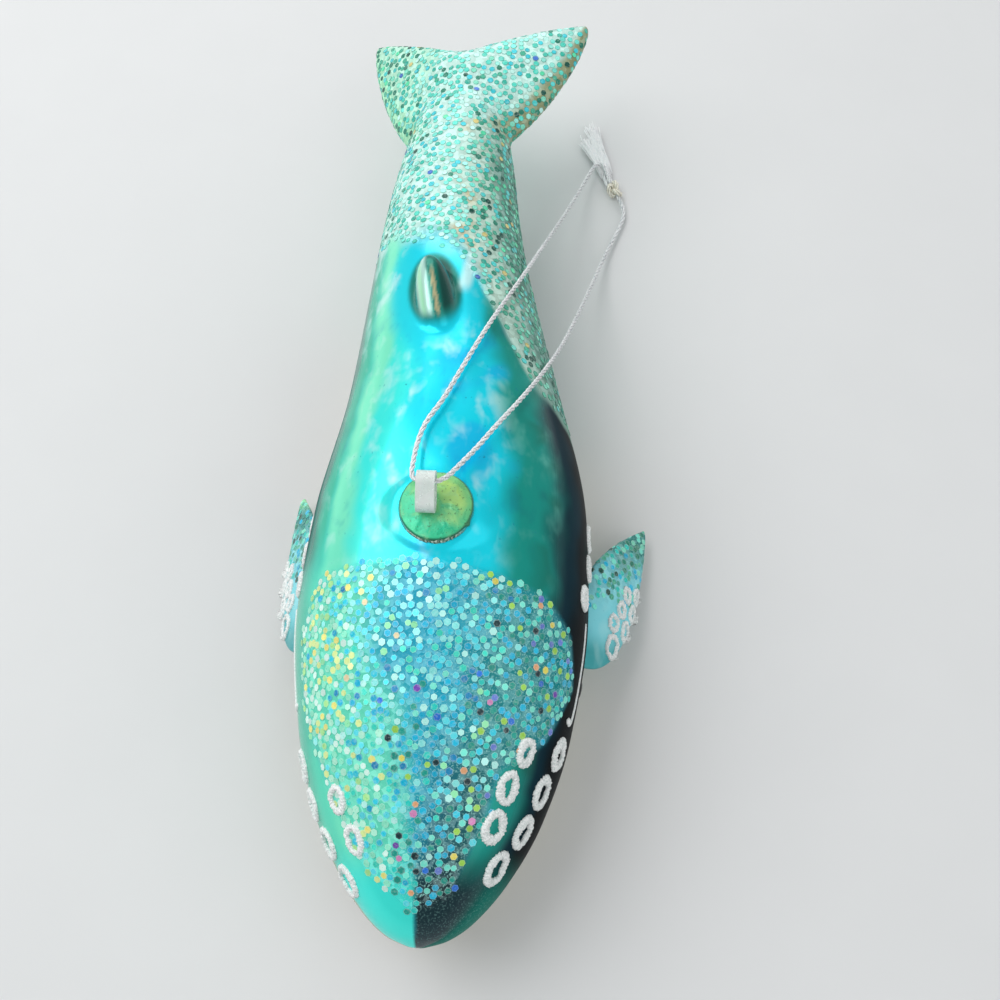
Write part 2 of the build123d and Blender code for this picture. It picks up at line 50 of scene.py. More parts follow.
ACROSS, ALONG, UP = Vector((1, 0, 0)), Vector((0, 1, 0)), Vector((0, 0, 1))
ORNAMENT, LOOP = "ornament", "hanging_loop"

# Camera and light
CAMERA_PLACE, CAMERA_TARGET, CAMERA_ROLL = (20.2, -65.7, 185.2), (8.35, 1.39, 35.0), -6.65
CAMERA_LENS, SENSOR, CAMERA_CLIP = 45.0, 36.0, (0.01, 20.0)
FLOOR_SIZE, FLOOR_COLOURS = 4000.0, ("#DADBDB", "#DEDFDF")
WORLD_LEVEL, WORLD_COLOUR = 0.5, "#F3F6F8"
# Lamps: place, target, size across, power in watts
LAMPS = {
    "key_light": ((-330, 120, 480), (0, 20, 15), 520, 2.1),
    "fill_light": ((420, -200, 380), (0, 10, 15), 600, 0.8),
    "tail_light": ((-80, 520, 260), (0, 60, 15), 360, 0.7),
}

# Hull, as in the solids: station, half width, belly and back as shares of the length, width and height
BODY_LENGTH, BODY_WIDTH, BODY_HEIGHT = 142.0, 41.4, 35.0
WIDEST_AT, BELLY_SQUARENESS, BELLY_FLAT, CAP_STATION = 0.48, 2.4, 0.99, 53.39
HULL_LINES = np.array([
    (0.000, 0.040, 0.345, 0.385),
    (0.008, 0.190, 0.262, 0.458),
    (0.026, 0.350, 0.165, 0.545),
    (0.065, 0.560, 0.083, 0.650),
    (0.120, 0.755, 0.026, 0.755),
    (0.200, 0.915, -0.004, 0.872),
    (0.310, 1.000, -0.010, 0.977),
    (0.410, 0.966, -0.010, 1.000),
    (0.550, 0.795, -0.014, 0.940),
    (0.740, 0.577, 0.150, 0.800),
    (0.880, 0.440, 0.300, 0.720),
    (0.950, 0.310, 0.450, 0.684),
    (1.000, 0.080, 0.600, 0.640),
])
HALF_WIDTH, BELLY, BACK = 1, 2, 3
BACK_ANGLE, THINNEST = 90.0, 0.5
BEND_FROM, BEND_TO, TAIL_SWAY, TAIL_ROLL = 62.0, 118.0, -4.4, 13.0
PLEAT_COUNT, PLEAT_DEPTH, PLEAT_FROM, PLEAT_TO, PLEAT_EDGE = 8, 0.7, 3.0, 76.0, 20.0

# Fluke and flippers as in the solids, with a softer notch, and a dorsal fin a little shorter than theirs
FLUKE_PAST_END, FLUKE_HALF_SPAN, FLUKE_ROOT_CHORD, FLUKE_SWEEP, FLUKE_TIP_CHORD = 1.0, 19.6, 22.0, 8.4, 2.0
FLUKE_ROOT_THICK, FLUKE_TIP_THICK, FLUKE_DROOP, FLUKE_LIFT = 6.6, 1.8, 6.2, 0.3
FLUKE_PITCH, FLUKE_YAW, FLUKE_NOTCH, FLUKE_SECTIONS = 9.0, -4.0, 0.1, 61
FLUKE_LEAD_CURVE, FLUKE_TRAIL_CURVE, FLUKE_DROOP_CURVE = (1.6, 0.71), 1.2, 1.4
FIN_STATION, FIN_LENGTH, FIN_WIDTH, FIN_HEIGHT, FIN_SWEEP, FIN_ROOT_DEPTH = 88.2, 12.2, 5.8, 4.4, 3.2, 2.0
FIN_ROUNDNESS, FIN_TAPER, FIN_TOP, FIN_SECTIONS, FIN_CREST = 2.2, 0.2, 0.02, 24, 2.2
FLIPPER_STATION, FLIPPER_ANGLE, FLIPPER_SPAN, FLIPPER_SECTIONS = 46.5, -13.0, 12.0, 44
FLIPPER_ROOT_LEAD, FLIPPER_ROOT_TRAIL, FLIPPER_TIP_CHORD = -7.0, 6.0, 3.5
FLIPPER_ROOT_THICK, FLIPPER_TIP_THICK, FLIPPER_DROOP, FLIPPER_ROOT_DEPTH = 2.6, 1.3, 1.2, 3.0
FLIPPER_LEAD_CURVE, FLIPPER_TRAIL_CURVE, FLIPPER_DROOP_CURVE = (2.2, 0.6), 0.6, 2.0
# Flare from straight down, toe towards the body and reach of the tip
FLIPPERS = {"left": (50.0, 0.0, 18.3), "right": (46.0, 6.0, 20.8)}
BLADE_ROUNDNESS, OVAL_STEPS, FLIPPER_STEPS, SEAT_STEPS = 0.8, 40, 64, 64

# Body mesh
BODY_ROWS, BODY_COLUMNS, SNOUT_CROWDING = 200, 160, 1.4
VOXEL, SMOOTHING = 0.4, 10
# Neck seat under the cap: its top, and radius and height from there
SEAT_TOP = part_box("cap_bead")[0].z / MM
SEAT = [(9.0, -3.0), (7.6, -1.4), (6.5, -0.62), (5.8, -0.2), (5.3, 0.0)]
# Mouth line low round the snout: station and angle below the side
MOUTH = [(0.0, -62.0), (6.0, -42.0), (14.0, -30.0), (24.0, -24.0), (31.0, -26.0), (35.0, -36.0)]
MOUTH_DEPTH, MOUTH_WIDTH, MOUTH_SNOUT = 0.45, 0.7, 20.0

# Edge of the glitter on the head, and where the glitter of the tail starts, by station and angle
HEAD_GLITTER = np.array([
    (44.9, 139), (45.8, 113), (46.0, 89), (45.0, 68), (43.4, 44), (39.6, 27), (33.7, 18), (26.1, 32),
    (21.3, 54), (14.0, 56), (6.0, 62), (4.0, 90), (8.0, 124), (19.2, 140), (29.7, 152), (38.0, 151),
])
TAIL_GLITTER = np.array([
    (86.0, -90), (76.0, -20), (73.0, 0), (74.3, 21), (77.5, 43), (86.5, 54), (96.0, 66), (100.0, 98),
    (103.5, 128), (104.0, 180), (86.0, 270),
])
# Millimetres of a degree round the hull, and depths over which a glitter's edge fades in
DEGREE, GLITTER_EDGE = 0.33, (-0.8, 0.8)
FLAKE_RADIUS, FLAKE_THICK, FLAKE_TILT, FLAKE_RIM, FLAKE_CORNERS = 0.5, 0.03, 4.0, 0.78, 6
FLAKE_SIZES, FLAKE_LIFTS, FLAKE_SHADES, RIM_SHADES = (0.86, 1.1), (0.02, 0.05), (0.82, 1.08), (0.5, 1.2)
HEAD_FLAKES, TAIL_FLAKES, FLIPPER_FLAKES = 1300, 2800, 110
FLAKE_SPACING, FLAKE_TRIES = 0.84, 8

# Ripples in the edges of the lacquer: size in millimetres, and degrees by which they lean
SOFT_RIPPLE, FINE_RIPPLE, SOFT_LEAN, FINE_LEAN = 9.0, 3.5, 8, 4
# Lacquer colours; some of them also paint light and shade, as said at the coats that use them
CYAN, DEEP_CYAN, ICE, SHADED_CLOUD = "#06E0F4", "#0AB6F2", "#D8FFFC", "#6CC4B4"
SEA, MOSS, NAVY, INK = "#0A9C8E", "#0C7C6C", "#032C38", "#01080C"
SPRING, LIME, MINT, AQUA = "#1FB894", "#A2F8B4", "#6CF2D0", "#40F6E8"
PEARL, CREAM, TAN, KHAKI, OLIVE = "#D6FFF4", "#EDE8CE", "#E2CC9A", "#A4AC80", "#A8A878"
LAGOON, TEAL, DUSK, SHELL = "#08B0D0", "#12989A", "#0A3038", "#8AE6F0"
FIN_GREEN, FIN_SHADE = "#0C8070", "#084C44"

# Stations that bound the tail stock, the fluke's lobes and the snout, and the fin's edge as shares
STOCK, LOBES, SNOUT, ON_FIN = (130, 121), (124, 129), (13, 6), (1.2, 0.98)
# Coats of colour in their order: colour, strength, and the measures of a place that let the coat on. Most are
# lacquer; those that paint light and shade are marked.
# A measure fades it in between two values, or in and out between four.
# Two strengths are the one on the head and the one behind it.
SKIN_COATS = [
    (DEEP_CYAN, 0.6, dict(blotch=(0.1, 0.55))),
    (AQUA, 0.9, dict(lean=(94, 114))),
    # Sea green and moss darken towards the low side: partly the lacquer's colour, partly painted shade.
    (SEA, 1.0, dict(lean=(70, 56))),
    (MOSS, 1.0, dict(lean=(58, 40), fine=(-0.3, 0.4))),
    # Navy and ink on the low side are painted shade, a painted reflection of dark surroundings.
    (NAVY, 1.0, dict(lean=(46, 31))),
    (INK, 1.0, dict(lean=(32, 18))),
    (MINT, (0.9, 0.0), dict(lean=(116, 126))),
    # The lime band along this flank is a painted reflection.
    (LIME, (0.2, 0.55), dict(right=(120, 129, 134, 142))),
    # Spring green and moss darken towards the other low side: partly the lacquer's colour, partly painted
    # shade.
    (SPRING, (0.3, 0.9), dict(right=(132, 143))),
    (MOSS, (0.3, 1.0), dict(right=(144, 156))),
    # Navy and ink on that low side, behind the head, are painted shade.
    (NAVY, (0.0, 1.0), dict(angle=(154, 166))),
    (INK, (0.0, 1.0), dict(angle=(166, 178))),
]
HEAD_COATS = [
    (LAGOON, 0.9, {}),
    # Mint on one side, then teal and dusk towards the other, low side: partly the lacquer's colour, partly
    # painted light and painted shade; the dusk is painted shade.
    (MINT, 1.0, dict(cheek=(98, 122))),
    (TEAL, 0.9, dict(lean=(84, 60))),
    (DUSK, 0.65, dict(chin=(28, 14), lean=(94, 74))),
]
SNOUT_COATS = [
    # Aqua on one half of the snout's top, dusk on the other and moss low on that side are painted light and
    # painted shade.
    (AQUA, 1.0, dict(station=SNOUT, angle=(86, 92))),
    (DUSK, 1.0, dict(station=SNOUT, angle=(92, 86))),
    (MOSS, 0.8, dict(station=SNOUT, angle=(48, 20))),
    (OLIVE, 1.0, dict(station=(16, 8), angle=(158, 172))),
    (CREAM, 1.0, dict(angle=(-14, -28))),
    (CREAM, 1.0, dict(angle=(192, 206))),
]
TAIL_COATS = [
    (PEARL, 1.0, {}),
    (LIME, 0.35, dict(lean=(128, 165))),
    (KHAKI, 0.35, dict(station=STOCK, lean=(74, 52))),
    (TAN, 1.0, dict(station=STOCK, lean=(54, 66, 78, 88), patch=(-0.2, 0.4))),
    (MOSS, 0.75, dict(station=STOCK, lean=(50, 24))),
    (KHAKI, 1.0, dict(station=LOBES, from_edge=(6.5, 2.5), lobe=(0, 1), out=(0.2, 0.4))),
    (LIME, 0.5, dict(station=LOBES, from_edge=(6.5, 2.5), lobe=(0, -1))),
]
FIN_COATS = [
    (CYAN, 0.8, dict(away=(2.6, 1.7))),
    (FIN_GREEN, 0.9, dict(away=(1.36, 1.12))),
    (FIN_GREEN, 1.0, dict(away=ON_FIN)),
    # From here the fin's coats paint its reflections: the dark side is painted shade; the pale and lime face,
    # the tan stripe and the pale streak are painted highlights and reflections.
    (FIN_SHADE, 1.0, dict(away=ON_FIN, side=(0.25, 0.45, 0.75, 0.95))),
    (PEARL, 0.75, dict(away=ON_FIN, side=(-0.85, -0.6, -0.25, -0.05))),
    (LIME, 0.6, dict(away=ON_FIN, side=(-0.75, -0.5, -0.5, -0.3))),
    (TAN, 0.8, dict(away=ON_FIN, side=(0.0, 0.08, 0.14, 0.24), along=(0.2, -0.3))),
    (ICE, 0.8, dict(highlight_streak=(0.42, 0.1), along=(-0.3, 0.2, 1.1, 1.5))),
]
FLIPPER_COATS = [
    (TEAL, 0.8, dict(root=(0.3, 0.05))),
    (DUSK, 0.8, dict(along=(0.5, 0.6), chord=(0.3, 0.05))),
    (FIN_GREEN, 0.85, dict(tip=(0.6, 0.85))),
]
RIGHT_TIP_COATS = [(LIME, 1.0, dict(along=(0.88, 0.98)))]

# Flake colours with their weights
PALE_FLAKES = [
    ("#5CE8F4", 5), ("#30D4EA", 5), ("#92F8F4", 4), ("#12B8DE", 3.4), ("#40E8D0", 3.4), ("#BCFFF6", 2.2),
    ("#0C8EC4", 1.2), ("#98F4B8", 1), ("#F0DDB0", 0.25),
]
WARM_FLAKES = [
    ("#B8FCE0", 5), ("#E4F8A4", 2.6), ("#94F6D4", 4), ("#F6F08A", 1.8), ("#DCFFF2", 4.5), ("#B0F09C", 1.6),
]
DEEP_FLAKES = [
    ("#24D0C4", 5), ("#0CC0E4", 4), ("#169E8E", 4), ("#7CF4DE", 3.5), ("#2078E0", 0.9), ("#0A343A", 0.6),
    ("#6C86DA", 0.5), ("#A4DE58", 1.2), ("#EEE066", 0.5), ("#E08CC4", 0.25), ("#F0B080", 0.25),
    ("#7A48B8", 0.2),
]
TAIL_PALE_FLAKES = [
    ("#7CF2E0", 5), ("#A4FCEC", 5), ("#58E2CC", 4), ("#3CC4AE", 2.4), ("#C8FFF4", 2.4), ("#40D8E4", 2),
    ("#4A7CD8", 0.2),
]
TAIL_DEEP_FLAKES = [
    ("#4CBE9E", 5), ("#2C8C74", 3), ("#86EACC", 4), ("#12584A", 1.4), ("#54DCD8", 2), ("#64F4BC", 1.2),
    ("#E5D68C", 0.3),
]
HEAD_RIM, TAIL_RIM = ("#E8FFFB", 0.36), ("#1E7C6A", 0.7)

# Barnacle rings: width of the stroke, rise and steps round
RINGS = {
    "left_head_barnacles": (1.2, 0.45, 150), "right_head_barnacles": (0.9, 0.45, 150),
    "left_flank_barnacles": (1.2, 0.45, 150), "right_flank_barnacles": (1.2, 0.45, 150),
    "left_flipper_barnacles": (0.78, 0.36, 100), "right_flipper_barnacles": (0.78, 0.36, 100),
}
RING_SECTION, RING_SINK, RING_LONG, RING_SHORT = 14, 0.15, 1.1, 0.84
RING_WOBBLE, RING_SWELL = 0.14, 0.3
# Grain on a surface: fineness and depth of each noise
RING_GRAIN, RING_FUZZ = [(3.1, 0.15), (6.7, 0.15)], [(8.3, 0.16)]
BEAD_GRAIN, CAP_WAVES = [(3.3, 0.1), (7.1, 0.07)], [(0.9, 0.06), (2.6, 0.03)]
PROBE_FROM, PROBE_REACH = 4.0, 12.0

# Throat lines and eyes
THROAT_LINE = np.array([(43.4, 11), (38.6, 10), (34.0, 9), (31.2, 9.2), (29.6, 11), (29.2, 14), (30.0, 16)])
LINE_RADIUS, LINE_SIDES, LINE_BLOB, BLOB_AT, BLOB_SPREAD = 0.28, 10, 0.45, 0.96, 0.05
LINE_THIN, LINE_TAPER = 0.62, 0.3
EYE_RADIUS, EYE_RISE, EYE_SINK, EYE_RINGS, EYE_STEPS = 1.3, 0.32, 0.05, 12, 36

# Cap and its glue; the rim is given by share of the radius and height
CAP_RADIUS, CAP_EDGE, CAP_CROWN, CAP_RINGS, CAP_STEPS = 4.9, 0.5, 0.9, 26, 120
CAP_RIM = [(1.0, -0.2), (1.0, 0.0), (1.0, 0.3), (0.985, 0.46)]
CAP_SHARES, CAP_WAVES_FROM, RIM_WOBBLE = (0.955, 0.02), 0.3, 0.1
FLAP_ANGLE, FLAP_SPREAD, FLAP_REACH = -28.0, 5.0, 0.35
BEAD_RADIUS, BEAD_SIDES, BEAD_STEPS, BEAD_FLATNESS, BEAD_FRONT = 0.2, 12, 220, 0.8, -80.0
BEAD_THIN, BEAD_SWELL, BEAD_UNEVEN = 0.7, 0.9, 0.25
HANGER_ROUNDING = 0.3

# Cord
CORD_DIAMETER = 0.75
CORD_SPAN_STEPS, LINE_SPAN_STEPS, FRAY_SEED = 16, 12, 11
CORD_STRANDS, CORD_PITCH, STRAND_RADIUS, STRAND_SIDES = 3, 3.6, 0.2, 8
ROUTE = [
    (22.65, 77.8, 1.1), (23.6, 76.2, 0.9), (24.1, 73.5, 0.8), (23.1, 70.2, 0.8), (21.0, 64.8, 1.2),
    (19.6, 59.3, 3.0), (18.2, 52.6, 6.6), (16.6, 44.4, 12.0), (14.9, 35.6, 18.2), (12.7, 26.6, 25.6),
    (10.3, 19.2, 31.2), (7.0, 12.6, 34.6), (5.0, 8.7, 36.0), (3.1, 5.4, 37.4), (1.2, 2.1, 38.85),
    (-1.0, 1.75, 39.0), (-3.15, 2.1, 38.85), (-3.35, 5.6, 37.2), (-3.2, 9.3, 36.0), (-2.4, 12.6, 35.5),
    (-0.6, 15.7, 35.2), (1.5, 21.2, 34.5), (3.5, 27.0, 33.1), (5.4, 33.0, 30.7), (8.2, 43.4, 24.4),
    (10.5, 55.4, 15.6), (13.2, 66.2, 8.8), (15.6, 75.0, 4.6), (17.2, 80.4, 2.7), (18.1, 82.9, 2.1),
    (18.8, 84.1, 1.9), (20.0, 84.0, 1.8), (20.8, 81.8, 1.75), (21.4, 79.9, 1.7),
]
KNOT_FROM, KNOT_TO, KNOT_STEPS, KNOT_ROPE = (22.85, 77.45, 1.4), (21.35, 80.15, 1.4), 120, 1.15
KNOT_LONG, KNOT_WIDE, KNOT_HIGH, KNOT_CROSSING, KNOT_LEAN = 1.15, 1.0, 0.62, 0.62, 0.32
TAIL_ROUTES = [
    [(21.75, 80.0, 0.95), (20.6, 83.4, 0.75), (19.1, 88.0, 0.75)],
    [(20.95, 79.7, 0.95), (19.7, 83.6, 0.75), (18.0, 87.2, 0.75)],
]
TAIL_FRAY = [6.0, 3.4]
FRAY_FIBRES, FIBRE_RADIUS, FIBRE_STEPS, FIBRE_SIDES, FIBRE_LOWEST = 150, 0.1, 6, 5, 0.12
FRAY_ROOT, FRAY_SPREAD, FRAY_CURL = [(-0.7, 0.7), (-0.4, 0.4), (-0.2, 0.4)], (0.42, 0.42, 0.126), 0.12


def fade(start, end, value):
    """Smooth step from 0 at start to 1 at end, which may be the smaller one."""
    t = np.clip((np.asarray(value, float) - start) / (end - start), 0, 1)
    return t * t * (3 - 2 * t)


def linear(colour):
    """Linear red, green, blue of a written colour."""
    parts = [int(colour[i:i + 2], 16) / 255 for i in (1, 3, 5)]
    return np.array([p / 12.92 if p <= 0.04045 else ((p + 0.055) / 1.055) ** 2.4 for p in parts])


def points_at(x, y, z):
    """Rows of coordinates, each of which may be one number for all."""
    return np.stack(np.broadcast_arrays(x, y, z), -1)


def circle(steps):
    """Cosines and sines of even steps round a circle."""
    turn = np.linspace(0, 2 * math.pi, steps, endpoint=False)
    return np.cos(turn), np.sin(turn)


def turns(steps):
    """Angles of even steps round a circle, in radians."""
    return [math.tau * k / steps for k in range(steps)]


def spoke(first, second, turn):
    """Direction at a turn from one direction towards another."""
    return first * math.cos(turn) + second * math.sin(turn)


def turned(angle, axis):
    """Rotation matrix of an angle in degrees."""
    return Matrix.Rotation(math.radians(angle), 4, axis)


def moved(points, matrix):
    """Points carried by a matrix."""
    m = np.array(matrix)
    return points @ m[:3, :3].T + m[:3, 3]


def hull_line(column, station):
    """Share that one smooth hull line has at stations."""
    places, values = HULL_LINES[:, 0], HULL_LINES[:, column]
    slopes = np.diff(values) / np.diff(places)
    before, after = slopes[:-1], slopes[1:]
    same = before * after > 0
    inner = np.where(same, 2 * before * after / np.where(same, before + after, 1), 0)
    tangents = np.concatenate([slopes[:1], inner, slopes[-1:]])
    share = np.clip(np.asarray(station, float) / BODY_LENGTH, 0, 1)
    row = np.clip(np.searchsorted(places, share, side="right") - 1, 0, len(places) - 2)
    reach = places[row + 1] - places[row]
    t = (share - places[row]) / reach
    rise = values[row] * (1 + 2 * t) * (1 - t) ** 2 + tangents[row] * reach * t * (1 - t) ** 2
    return rise + values[row + 1] * t * t * (3 - 2 * t) - tangents[row + 1] * reach * t * t * (1 - t)


def hull_levels(station):
    """Half width, belly, widest level and back at stations."""
    half = hull_line(HALF_WIDTH, station) * BODY_WIDTH / 2
    low = hull_line(BELLY, station) * BODY_HEIGHT
    high = hull_line(BACK, station) * BODY_HEIGHT
    return half, low, low + WIDEST_AT * (high - low), high


def tail_bend(station):
    """Sideways shift and roll in radians of the hull at stations."""
    turn = fade(BEND_FROM, BEND_TO, station)
    return TAIL_SWAY * turn, np.radians(TAIL_ROLL) * turn


def hull_point(station, angle, inset=0.0):
    """Points of the hull, in millimetres, moved inwards by the inset."""
    half, low, middle, high = hull_levels(station)
    side, up = np.cos(np.radians(angle)), np.sin(np.radians(angle))
    power = np.where(up >= 0, 1.0, 2 / BELLY_SQUARENESS)
    x = (half - inset) * np.sign(side) * np.abs(side) ** power
    below = np.minimum(np.abs(up) ** power / BELLY_FLAT, 1.0)
    z = np.where(up >= 0, (high - inset - middle) * up, (low + inset - middle) * below)
    sway, roll = tail_bend(station)
    across, height = sway + x * np.cos(roll) - z * np.sin(roll), middle + x * np.sin(roll) + z * np.cos(roll)
    return points_at(across, np.asarray(station, float) - CAP_STATION, height)


def hull_place(points):
    """Station and angle round the hull, from -90 to 270, of points in millimetres."""
    station = points[:, 1] + CAP_STATION
    half, low, middle, high = hull_levels(station)
    sway, roll = tail_bend(station)
    dx, dz = points[:, 0] - sway, points[:, 2] - middle
    x = dx * np.cos(roll) + dz * np.sin(roll)
    z = dz * np.cos(roll) - dx * np.sin(roll)
    tall = np.where(z >= 0, high - middle, middle - low)
    angle = np.degrees(np.arctan2(z / np.maximum(tall, THINNEST), x / np.maximum(half, THINNEST)))
    return station, np.where(angle < -90, angle + 360, angle)


def place_of(spot):
    """Station and angle round the hull of one point."""
    return [float(values[0]) for values in hull_place(np.array([spot]))]


def hull_frame(station, angle):
    """Matrix on the hull, in millimetres: X along the body, Z outwards."""
    step = 0.1
    spots = hull_point(np.array([station, station + step, station]), np.array([angle, angle, angle + step]))
    origin, ahead, beside = [Vector(p) for p in spots]
    along = (ahead - origin).normalized()
    out = along.cross(beside - origin).normalized()
    side = out.cross(along)
    return Matrix.Translation(origin) @ Matrix((along, side, out)).transposed().to_4x4()


def pleat_inset(station, angles):
    """How far the pleated belly lies inside the plain hull."""
    turn = (angles - 180 - PLEAT_EDGE) / (180 - 2 * PLEAT_EDGE)
    inside = (turn > 0) & (turn < 1)
    phase = np.clip(turn, 0, 1) * PLEAT_COUNT
    edge = np.minimum(np.clip(phase * 2, 0, 1), np.clip((PLEAT_COUNT - phase) * 2, 0, 1))
    along = (station - PLEAT_FROM) / (PLEAT_TO - PLEAT_FROM)
    depth = PLEAT_DEPTH * math.sin(math.pi * along) if 0 < along < 1 else 0.0
    return np.where(inside, depth * edge * (1 - np.abs(np.sin(np.pi * phase))), 0.0)


def swell_in(share, curve):
    """Rounded leading edge: how far it has run back at a share of the span."""
    first, second = curve
    return 1 - (1 - share**first) ** second


def blade(sections, steps):
    """Rows of points round a leaf: sections have a place across, both edges, thickness and lift."""
    flat, upright = circle(steps)
    rows = []
    for across, lead, trail, thick, lift in sections:
        y = (lead + trail) / 2 + (trail - lead) / 2 * flat
        z = lift + thick / 2 * np.sign(upright) * np.abs(upright) ** BLADE_ROUNDNESS
        rows.append(points_at(across, y, z))
    return np.array(rows)


def fluke_lead(share):
    """Leading edge of the fluke at shares of its half span."""
    reach = FLUKE_ROOT_CHORD + FLUKE_SWEEP - FLUKE_TIP_CHORD
    return -FLUKE_ROOT_CHORD + reach * swell_in(share, FLUKE_LEAD_CURVE)


def fluke_matrix():
    """Matrix of the fluke's root, in millimetres."""
    middle = float(hull_levels(BODY_LENGTH)[2])
    place = Matrix.Translation((TAIL_SWAY, BODY_LENGTH + FLUKE_PAST_END - CAP_STATION, middle + FLUKE_LIFT))
    return place @ turned(FLUKE_YAW, "Z") @ turned(-TAIL_ROLL, "Y") @ turned(FLUKE_PITCH, "X")


def fluke_rows():
    """Fluke in the part's frame, from tip to tip."""
    sections = []
    for share in np.sin(np.linspace(-math.pi / 2, math.pi / 2, FLUKE_SECTIONS)):
        t = abs(float(share))
        soft = min(math.hypot(t, FLUKE_NOTCH), 1.0)
        trail = FLUKE_SWEEP * (1 - (1 - soft) ** FLUKE_TRAIL_CURVE)
        thick = FLUKE_ROOT_THICK + (FLUKE_TIP_THICK - FLUKE_ROOT_THICK) * t
        droop = FLUKE_DROOP * t**FLUKE_DROOP_CURVE
        sections.append((share * FLUKE_HALF_SPAN, float(fluke_lead(t)), trail, thick, -droop))
    return moved(blade(sections, OVAL_STEPS), fluke_matrix())


def fin_rows():
    """Dorsal fin as a stack of ovals with a rounded top."""
    flat, upright = circle(OVAL_STEPS)
    rows = []
    for height in np.linspace(-FIN_ROOT_DEPTH / FIN_HEIGHT, 1, FIN_SECTIONS):
        t = max(float(height), 0.0)
        left = math.sqrt(max(1 - t**FIN_ROUNDNESS, 0.0)) * (1 - FIN_TAPER * t) + FIN_TOP
        x = FIN_SWEEP * height + FIN_LENGTH / 2 * left * flat
        rows.append(points_at(x, FIN_WIDTH / 2 * left * upright, FIN_HEIGHT * height))
    return moved(np.array(rows), hull_frame(FIN_STATION, BACK_ANGLE))


def seat_rows():
    """Neck seat under the cap, running out into the back."""
    flat, upright = circle(SEAT_STEPS)
    return [points_at(radius * flat, radius * upright, SEAT_TOP + height) for radius, height in SEAT]


def linked(name, data):
    """Object of some data, put into the scene."""
    made = bpy.data.objects.new(name, data)
    bpy.context.collection.objects.link(made)
    return made


def add_tube(bm, rows, closed=False):
    """Adds rows of points as a tube to a mesh under construction, its ends closed unless it is a ring."""
    rings = [[bm.verts.new(Vector(p) * MM) for p in row] for row in rows]
    pairs = list(zip(rings, rings[1:])) + ([(rings[-1], rings[0])] if closed else [])
    for first, second in pairs:
        for i in range(len(first)):
            k = (i + 1) % len(first)
            bm.faces.new((first[i], second[i], second[k], first[k]))
    if not closed:
        bm.faces.new(list(reversed(rings[0])))
        bm.faces.new(rings[-1])
    return rings


def finished(name, bm, material):
    """Object made of a finished mesh, with outward faces and smooth shading."""
    bmesh.ops.recalc_face_normals(bm, faces=bm.faces)
    mesh = bpy.data.meshes.new(name)
    bm.to_mesh(mesh)
    bm.free()
    mesh.materials.append(material)
    mesh.shade_smooth()
    return linked(name, mesh)


def tubes(name, tube_list, material, closed=False):
    """Object made of tubes."""
    bm = bmesh.new()
    for rows in tube_list:
        add_tube(bm, rows, closed)
    return finished(name, bm, material)


def stands_for(piece, node, body=ORNAMENT):
    """Hides the solid node that a piece replaces and parents the piece to the body it moves with."""
    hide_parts(node)
    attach(piece, body)


def settle(obj):
    """Puts the shape that an object's modifiers make into its own mesh."""
    graph = bpy.context.evaluated_depsgraph_get()
    mesh = bpy.data.meshes.new_from_object(obj.evaluated_get(graph))
    obj.modifiers.clear()
    obj.data = mesh
    mesh.shade_smooth()


def numbers(items, name, width, kind=np.float32):
    """One row of stored numbers for each item of a mesh."""
    flat = np.empty(len(items) * width, dtype=kind)
    items.foreach_get(name, flat)
    return flat.reshape(-1, width)


def surface(obj):
    """Points in millimetres and smooth normals of an object's vertices."""
    points, normals = numbers(obj.data.vertices, "co", 3), numbers(obj.data.vertex_normals, "vector", 3)
    return points.astype(float) / MM, normals.astype(float)


def store(obj, **layers):
    """Stores a number or a linear colour for each vertex under each name."""
    for name, values in layers.items():
        kind, field = "FLOAT", "value"
        if np.ndim(values) == 2:
            kind, field = "FLOAT_COLOR", "color"
            values = np.concatenate([values, np.ones((len(values), 1))], 1)
        made = obj.data.attributes.new(name, kind, "POINT")
        made.data.foreach_set(field, np.asarray(values, dtype=np.float32).ravel())


def ripple(points, size, shift=0.0):
    """Soft noise between about -1 and 1 with features of a size in millimetres."""
    return np.array([noise.noise(Vector(p) / size + Vector((shift, 0, 0))) for p in points])


def grain_at(spot, grain):
    """Height of a surface's grain at a spot."""
    return sum(noise.noise(spot * fineness) * depth for fineness, depth in grain)


def layer(paint, colour, weight):
    """Paint with a colour laid over it by weight."""
    return paint + (linear(colour) - paint) * np.clip(weight, 0, 1)[:, None]


def painted(paint, coats, measures, mask=1.0):
    """Paint with coats laid over it where their measures and a mask let them on."""
    for colour, strength, limits in coats:
        ahead, behind = strength if isinstance(strength, tuple) else (strength, strength)
        weight = mask * (ahead + (behind - ahead) * measures.get("back", 1.0))
        for name, band in limits.items():
            weight = weight * fade(band[0], band[1], measures[name])
            if len(band) == 4:
                weight = weight * fade(band[3], band[2], measures[name])
        paint = layer(paint, colour, weight)
    return paint


def inside_depth(place, outline):
    """Depth in millimetres inside a closed outline of stations and angles, negative outside it."""
    scale = np.array([1.0, DEGREE])
    p, corners = place * scale, outline * scale
    inside = np.zeros(len(p), bool)
    nearest = np.full(len(p), np.inf)
    for a, b in zip(corners, np.roll(corners, -1, axis=0)):
        along = np.clip(((p - a) @ (b - a)) / ((b - a) @ (b - a)), 0, 1)
        nearest = np.minimum(nearest, np.linalg.norm(p - a - along[:, None] * (b - a), axis=1))
        crosses = (a[1] > p[:, 1]) != (b[1] > p[:, 1])
        reach = (b[0] - a[0]) * (p[:, 1] - a[1]) / np.where(b[1] == a[1], 1e-9, b[1] - a[1]) + a[0]
        inside ^= crosses & (p[:, 0] < reach)
    return np.where(inside, nearest, -nearest)


def glitter_depths(station, angle):
    """Depth in millimetres inside the head's glitter and inside the tail's."""
    head = inside_depth(np.stack([station, angle], -1), HEAD_GLITTER)
    return head, station - np.interp(angle, TAIL_GLITTER[:, 1], TAIL_GLITTER[:, 0])


